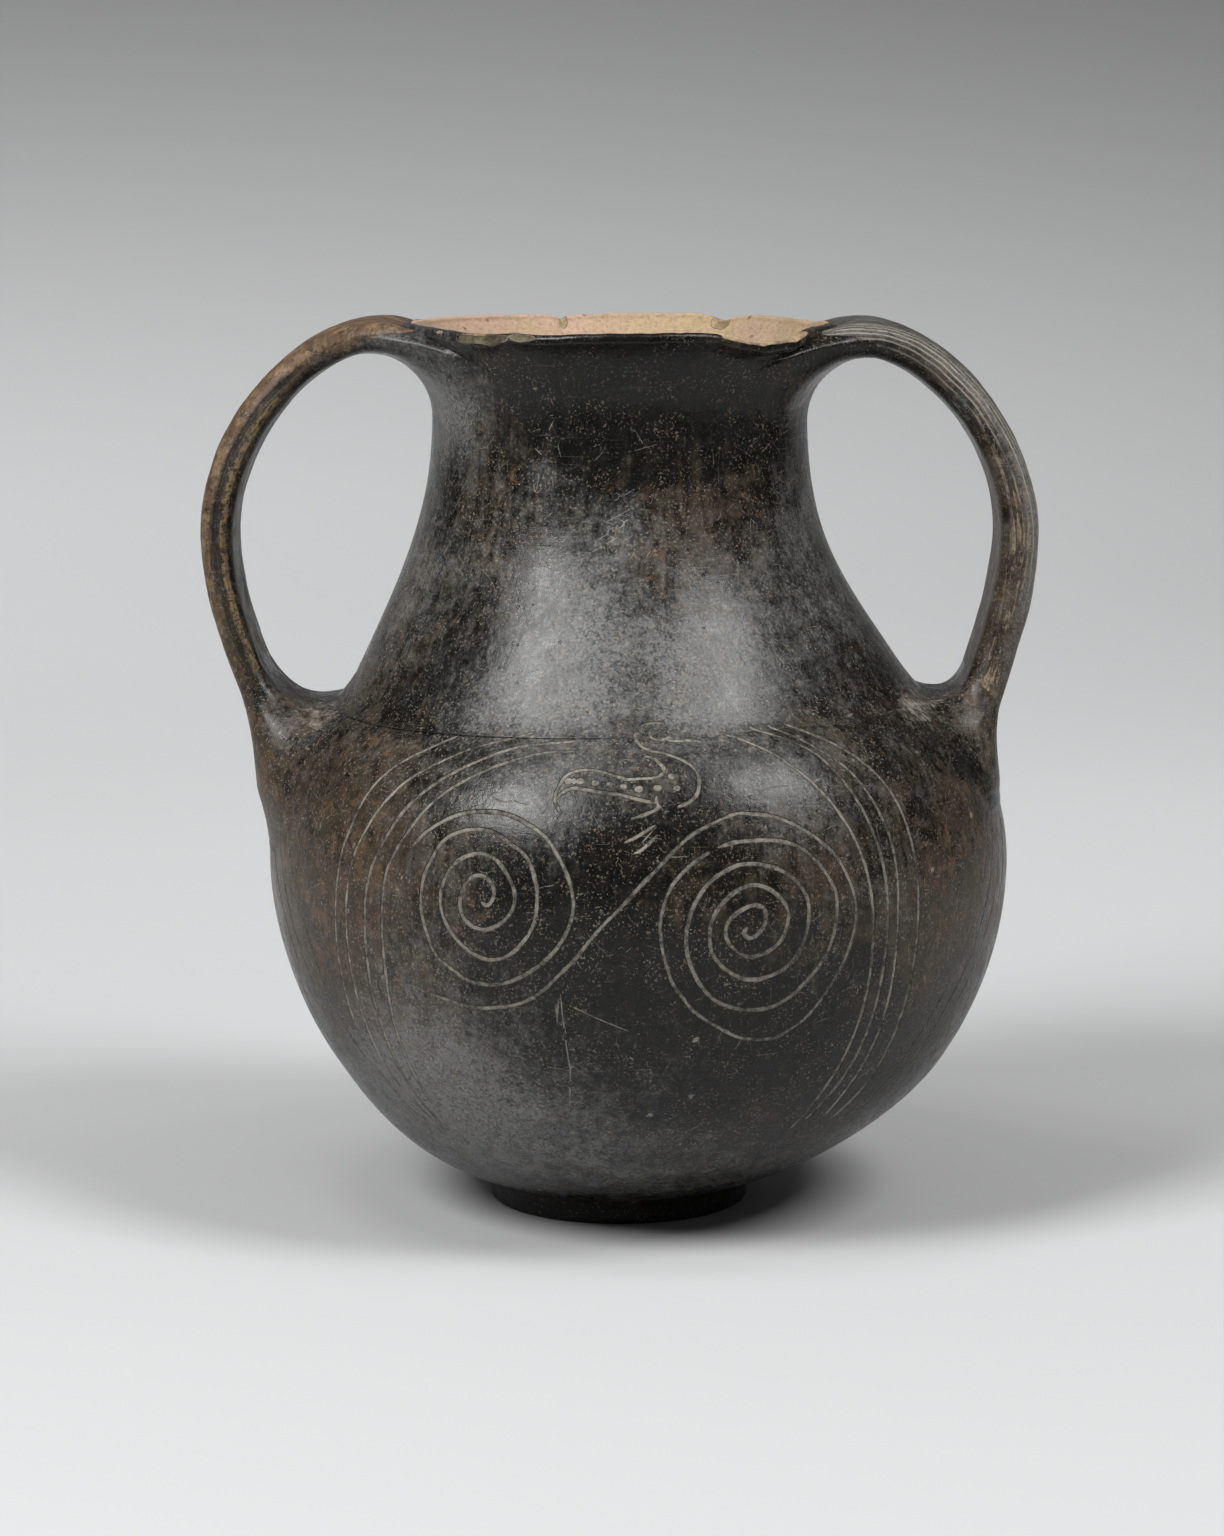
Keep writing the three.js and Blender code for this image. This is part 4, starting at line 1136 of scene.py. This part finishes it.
def ornamented(t, n, colour):
    """The incised lines, dark where cut and unevenly filled with pale clay."""
    ragged = t.total(t.swing(t.noise(0.5, 3, 0.6), 0.24), t.swing(t.noise(2.4, 2, 0.5), 0.32), -0.04)
    filled = t.ramp(t.total(t.times(t.noise(5.5, 5, 0.7), 0.8), t.times(t.noise(0.7, 3, 0.6), 0.5)),
                    0.48, 0.8, 0.1, 1.0)
    groove, pale = 0.0, 0.0
    for line, margin in (("line", 0.5), ("stroke", 0.5), ("dot", 0.25)):
        depth = t.ramp(t.past_edge(line, ragged, margin), 0.1, -0.1)
        groove = t.most(groove, depth)
        pale = t.most(pale, t.times(depth, t.number(line + "_pale")))
    colour = t.mix(t.times(groove, 0.75), colour, SOOT)
    return t.mix(t.times(pale, filled, 0.88), colour, t.mix(t.noise(3, 3), FILL, DUST)), groove


def bare_clay(t):
    """The unburnished inside: buff to pink, stained, grainy and pitted, and darkened with painted shade further down.
    """
    colour = t.mix(t.ramp(t.total(t.noise(14, 4, 0.6, 0.3), t.number("pinkness")), 0.35, 0.65), BUFF, PINK)
    colour = t.mix(t.ramp(t.noise(3.5, 8, 0.75), 0.56, 0.74, 0.0, 0.6), colour, BARE_STAIN)
    colour = t.mix(t.ramp(t.noise(0.7, 3, 0.6), 0.35, 0.75, 0.0, 0.25), colour, BARE_GRAIN)
    colour = t.mix(t.times(t.ramp(t.cells(4.0)[0], 0.13, 0.07), 0.6), colour, BARE_PIT)
    return t.mix(t.number("deep"), colour, BARE_SHADE)


def lipped(t, n, colour):
    """The bare inside up to a worn edge, and on the lip the old scars and chips."""
    inner = t.ramp(t.total(t.number("inside"), t.swing(t.noise(2.2, 5, 0.7), 0.55)), 0.42, 0.58)
    colour = t.mix(inner, colour, bare_clay(t))
    place = t.number("scar")
    scar = t.ramp(t.total(place, t.swing(t.noise(1.2, 4, 0.6), 0.5)), 0.3, 0.6)
    outside = t.inverse(inner)
    colour = t.mix(t.times(scar, outside, 0.9), colour, t.mix(t.ramp(n.fleck, 0.4, 0.65), OLIVE, UMBER))
    colour = t.mix(t.times(scar, t.ramp(place, 0.85, 0.45), outside, 0.75), colour, DUST)
    chip = t.ramp(t.total(t.number("chip"), t.swing(t.noise(1.4, 5, 0.7), 0.6)), 0.4, 0.62)
    return t.mix(chip, colour, t.mix(t.ramp(n.fleck, 0.4, 0.62), BUFF, CHIP_STAIN)), inner, chip, scar


def clay(name, brown=0.0, bloom=0.0, rough=0.4, incised=False, strap=None):
    """One fired body for every piece, with its colour, gloss and relief. Strap is left, right or none."""
    t = Tree(name)
    n = Shared(t, strap)
    colour, umber = charcoal(t, n, brown)
    colour, haze = hazed_with_painted_light(t, n, colour, bloom)
    colour, smear = smeared(t, n, colour)
    colour, grit = specked(t, n, colour)
    colour, hairs = hairlined(t, n, colour, strap)
    groove, scratch, inner, chip, scar = 0.0, 0.0, 0.0, 0.0, 0.0
    if strap:
        colour, groove = {"left": left_strap, "right": right_strap}[strap](t, n, colour)
    if incised:
        colour, scratch = scratched(t, n, colour)
        colour, groove = ornamented(t, n, colour)
        colour, inner, chip, scar = lipped(t, n, colour)
    colour = t.mix(t.times(t.ramp(n.grain, 0.3, 0.75), t.ramp(n.dust, 0.3, 0.7), 0.45), colour, BLACK)
    t.feed(t.shader.inputs["Base Color"], colour)

    # Gloss: burnished where dark, dull where worn, filled or broken
    dull = t.most(inner, chip, t.times(groove, 0.8), scar)
    gloss = t.total(
        rough, t.swing(n.mottle, 0.3), t.swing(n.upright, 0.3), t.swing(n.grain, 0.34), t.swing(n.fleck, 0.24),
        t.times(haze, 0.17), t.times(smear, 0.3), t.times(umber, 0.1),
    )
    roughness = t.total(t.times(gloss, t.inverse(dull)), t.times(dull, 0.88))
    t.feed(t.shader.inputs["Roughness"], t.math("MINIMUM", t.most(roughness, 0.2), 0.95))
    t.shader.inputs["IOR"].default_value = 1.5
    t.shader.inputs["Specular IOR Level"].default_value = 0.27

    # Relief, in millimetres: finger and burnishing facets, grain, pits, grooves and scratches
    pit_near, pit_chance, _ = t.cells(2.3)
    relief = t.total(
        t.times(t.noise(11, 3, 0.55), 0.34), t.times(n.upright, 0.05), t.times(n.level, 0.035),
        t.times(n.fleck, 0.07), t.times(n.grain, 0.035), t.times(n.dust, 0.008), t.times(groove, -0.3),
        t.times(scratch, -0.04), t.times(hairs, -0.014), t.times(grit, 0.06), t.times(smear, 0.05),
        t.times(t.ramp(pit_near, 0.16, 0.06), t.ramp(pit_chance, 0.72, 0.8), -0.07),
        t.times(chip, t.noise(1.6, 4, 0.65), 0.5), t.times(scar, t.noise(2.2, 4, 0.6), 0.3),
    )
    bump = t.add("ShaderNodeBump", {"Strength": 1.0, "Distance": 0.001, "Height": relief})
    t.feed(t.shader.inputs["Normal"], bump.outputs[0])
    return t.material


# What each piece carries for the materials

sets = strokes()


def mark(piece, points, brown=0.0, bloom=0.0, smear=0.0, sets_found=None, **more):
    values = {}
    for name, found in (sets_found or {}).items():
        for key, value in found.items():
            values[f"{name}_{key}"] = value
    values["brown"] = zone(points, BROWN_AND_PAINTED_SHADE, 3) + brown
    values["bloom"] = zone(points, HAZE_AND_PAINTED_LIGHT, 4) + bloom
    values["smear"] = zone(points, SMEAR, 5) + smear
    for name, value in more.items():
        values[name] = value if np.ndim(value) else np.full(len(points), float(value))
    keep(piece, **values)


def finish_piece(piece, material, node):
    piece.data.materials.append(material)
    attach(piece, "root")
    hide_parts(node)


burnished = clay("burnished clay", rough=0.275, incised=True)
foot_clay = clay("foot clay", brown=-0.03, bloom=-0.05, rough=0.4)
mark(foot, foot_points, bloom=-0.4, brown=-0.2)
finish_piece(foot, foot_clay, "foot")

belly_rows = belly_outline[1:-1]
outside_rows = np.zeros(len(belly_rows), bool)
outside_rows[: int(np.argmax(belly_rows[:, 1] >= NECK_SEAT_HEIGHT - 1e-6)) + 1] = True
belly_outside = np.concatenate([[True], np.repeat(outside_rows, 540), [False]])
wanted = belly_outside & (belly_even[:, 2] > 12)
found = {name: nearest_stroke(belly_even, wanted, lines) for name, lines in sets.items()}
found["scratch"] = nearest_stroke(belly_even, wanted, scratches(12, 85.5, 1300, 21, BELLY_SCRATCHES))
bare = np.where(belly_outside, 0.0, 1.0)
# Below 15 mm the outside is made blacker, painted shade above the foot; the bare inside is filled with painted shade
# through deep
mark(belly, belly_points, brown=-0.6 * smooth(belly_points[:, 2], 15, 7), sets_found=found, inside=bare, deep=bare,
     chip=0, scar=0, pinkness=0)
finish_piece(belly, burnished, "belly")

top_row = int(neck_outline[:, 1].argmax())
row_number = np.repeat(np.arange(len(neck_outline)), 430)
inner_rows = np.clip((row_number - (top_row + 1)) / 3.0, 0, 1)
found = {name: nearest_stroke(neck_even, (inner_rows <= 0) & (neck_even[:, 2] < 91), lines)
         for name, lines in sets.items()}
found["scratch"] = nearest_stroke(neck_even, inner_rows <= 0, scratches(88, 134, 360, 22, NECK_SCRATCHES))
# Inside the mouth: painted shade deepening further down, and a brown stain on the right side, both carried by deep
depth = (row_number > top_row) * smooth(132 - neck_points[:, 2], 0, 26)
stain = np.exp(-(((neck_points - [24, 22, 148]) / [9, 14, 3.5]) ** 2).sum(1)) + 0.7 * smooth(neck_points[:, 0], 12, 34)
depth = np.maximum(depth, 0.3 * stain * (row_number > top_row) * (0.6 + 0.4 * unevenness(neck_points, 5.0, 4)))
worn_lip = smooth(neck_points[:, 1], 2, 16) * smooth(neck_points[:, 2], 147.8, 149.3)
mark(neck, neck_points, sets_found=found, inside=np.maximum(inner_rows, 0.75 * worn_lip), deep=depth * 0.85,
     chip=lip_marks["chip"].ravel() * (row_number > top_row - 4), scar=lip_marks["scar"].ravel(),
     pinkness=-neck_points[:, 0] / 250)
finish_piece(neck, burnished, "neck")

luting_clay = clay("luting clay", rough=0.3)
for name, handle in HANDLES.items():
    side = handle["side"]
    strap_clay = clay(f"{name} strap clay", rough=0.36, strap=name)
    pieces, path = strap_pieces(**handle)
    for part, (points, faces, normals) in pieces.items():
        piece = new_piece(f"{name}_{part}", points, faces, normals=normals)
        travelled, off, around, half_width = along_strap(points, path, side, handle["thickness"])
        outer = smooth(off, 0.2, 2.4)
        ridge = np.exp(-((around - 3.6) / 1.6) ** 2)
        if side < 0:
            brown = 0.5 + 0.9 * outer + 0.4 * ridge * (1 - smooth(travelled, 75, 95))
            smear = 0.3 * outer * smooth(travelled, 14, 26) * (1 - smooth(travelled, 60, 80)) + 0.35 * ridge
            bloom = -0.3 + 0.25 * (1 - outer)
        else:
            brown = 0.3 + 0.5 * ridge + 0.8 * smooth(travelled, 35, 60)
            smear = -0.1 + 0.7 * smooth(travelled, 78, 96)
            middle = np.exp(-((travelled - 62) / 20) ** 2)
            bloom = 0.05 + 0.42 * outer * (1 - smooth(travelled, 50, 80)) + 0.3 * ridge + 0.7 * outer * middle
        tan = outer * (1.35 - 0.75 * smooth(travelled, 46, 96)) - 0.1
        tan += 0.4 * ridge * (1 - 0.7 * smooth(travelled, 30, 60))
        tan += 0.5 * smooth(off, -2.6, -1.0) * (1 - outer) * (1 - smooth(travelled, 24, 40))
        tan *= 1 - 0.9 * smooth(travelled, 88, 112)
        if part == "handle":
            flow = np.stack([travelled, points[:, 1], off], 1)
            mark(piece, points, brown, bloom, smear, around=around, flow=flow, tan=tan)
            finish_piece(piece, strap_clay, f"{name}_handle")
            continue
        above_wall = off_vessel(np.hypot(points[:, 0] - lean_at(points[:, 2]), points[:, 1]), points[:, 2])
        own = smooth(above_wall, 0.2, 3.5)
        if part == "root_pad":
            smear, brown, bloom = smear * 0.4 + 0.1, brown * 0.7, bloom * 0.5 + 0.05
        else:
            # Rim webs: under the right arch less haze and blacker, painted shade beneath the strap; under the left
            # arch more grey haze, partly a painted highlight
            smear, brown, bloom = smear * 0.2 - 0.2, brown * 0.2 - 0.2, 0.35 if side < 0 else -0.4
        mark(piece, points, brown * own, bloom * own, smear * own)
        finish_piece(piece, luting_clay, f"{name}_{part}")

# Floor and backdrop in one sweep, evenly pale in front, with painted light where it begins to bend and painted shade
# above
FLOOR_PALENESS = 0.58
BEND_PAINTED_LIGHT = 0.125
BEND_PAINTED_SHADE = 0.06
UPPER_PAINTED_SHADE = 0.49
SWEEP_STEP = 0.02


# How pale the paper is, painted light and shade included, from how far back along the sweep it lies
def paper_tone_and_painted_light(travelled):
    gain = BEND_PAINTED_LIGHT * smooth(travelled, 0.4, 1.0)
    loss = BEND_PAINTED_SHADE * smooth(travelled, 1.1, 1.35) + UPPER_PAINTED_SHADE * smooth(travelled, 1.25, 1.68)
    return FLOOR_PALENESS + gain - loss


def backdrop():
    curve = joined(
        np.array([(-0.44, 0.0), (0.5, 0.0)]),
        bezier((0.5, 0), (0.95, 0), (1.1, 0.12), (1.1, 0.7), count=60),
        np.array([(1.1, 0.7), (1.1, 2.2)]),
    )
    curve = resampled(curve, SWEEP_STEP)
    across = np.linspace(-2.5, 2.5, 11)
    points = np.array([(x, y, z) for y, z in curve for x in across])
    faces = []
    for row in range(len(curve) - 1):
        for column in range(len(across) - 1):
            a = row * len(across) + column
            faces.append((a, a + 1, a + 1 + len(across), a + len(across)))
    sweep = new_piece("backdrop", points / MM, faces)
    travelled = np.repeat(np.arange(len(curve)) * SWEEP_STEP, len(across))
    # Up the backdrop the paper is paler on the left and darker on the right: painted light falling off away from the
    # left lamps
    sideways = np.tile(across, len(curve)) * smooth(travelled, 0.8, 1.3)
    keep(sweep, paleness=paper_tone_and_painted_light(travelled) * (1 - 0.5 * np.clip(sideways, -1, 1)))
    t = Tree("paper")
    paper = t.mix(t.number("paleness"), BLACK, grey(1.0, -0.006))
    t.feed(t.shader.inputs["Base Color"], paper)
    t.shader.inputs["Roughness"].default_value = 0.9
    t.shader.inputs["Specular IOR Level"].default_value = 0.15
    sweep.data.materials.append(t.material)


backdrop()


def area_lamp(name, place, aim, width, height, power):
    lamp = bpy.data.lights.new(name, "AREA")
    lamp.shape = "RECTANGLE"
    lamp.size, lamp.size_y, lamp.energy = width, height, power
    holder = bpy.data.objects.new(name, lamp)
    holder.location = place
    holder.rotation_euler = Vector(aim).to_track_quat("-Z", "Y").to_euler()
    bpy.context.collection.objects.link(holder)


def softbox(name, azimuth, elevation, distance, width, height, power):
    """A soft lamp aimed at the vessel. The azimuth is counted from the front towards +X."""
    a, e = np.radians(azimuth), np.radians(elevation)
    back = Vector((np.sin(a) * np.cos(e), -np.cos(a) * np.cos(e), np.sin(e)))
    area_lamp(name, Vector((0, 0, 0.08)) + back * distance, -back, width, height, power)


softbox("key left", -46, 41, 1.1, 0.34, 0.46, 11.2)
softbox("key right", 55, 49, 1.1, 0.3, 0.44, 7.4)
softbox("top left", -50, 72, 1.1, 0.26, 0.26, 1.6)
softbox("top right", 75, 66, 1.1, 0.26, 0.26, 0.9)
area_lamp("backdrop lamp", (0, 0.3, 0.85), (0, 1, -0.45), 1.2, 0.2, 3.4)

world = bpy.data.worlds.new("studio")
world.use_nodes = True
nodes, links = world.node_tree.nodes, world.node_tree.links
nodes.clear()
surround = nodes.new("ShaderNodeBackground")
surround.inputs[0].default_value = grey(1.0)
surround.inputs[1].default_value = 0.07
seen = nodes.new("ShaderNodeBackground")
seen.inputs[0].default_value = grey(0.68)
seen.inputs[1].default_value = 1.0
path_kind = nodes.new("ShaderNodeLightPath")
choose = nodes.new("ShaderNodeMixShader")
output = nodes.new("ShaderNodeOutputWorld")
links.new(path_kind.outputs["Is Camera Ray"], choose.inputs[0])
links.new(surround.outputs[0], choose.inputs[1])
links.new(seen.outputs[0], choose.inputs[2])
links.new(choose.outputs[0], output.inputs[0])
bpy.context.scene.world = world

# The camera at the photograph's angle: its view is 1224 by 1536, the long side on a 36 mm sensor
camera = bpy.data.objects.new("camera", bpy.data.cameras.new("camera"))
camera.data.sensor_width = 36.0
camera.data.lens = 98.8
camera.location = (-1.26 * MM, -710 * MM, 182.5 * MM)
camera.rotation_euler = (np.radians(90 - 8.67), 0, 0)
bpy.context.collection.objects.link(camera)
bpy.context.scene.camera = camera
bpy.context.scene.view_settings.view_transform = "Standard"
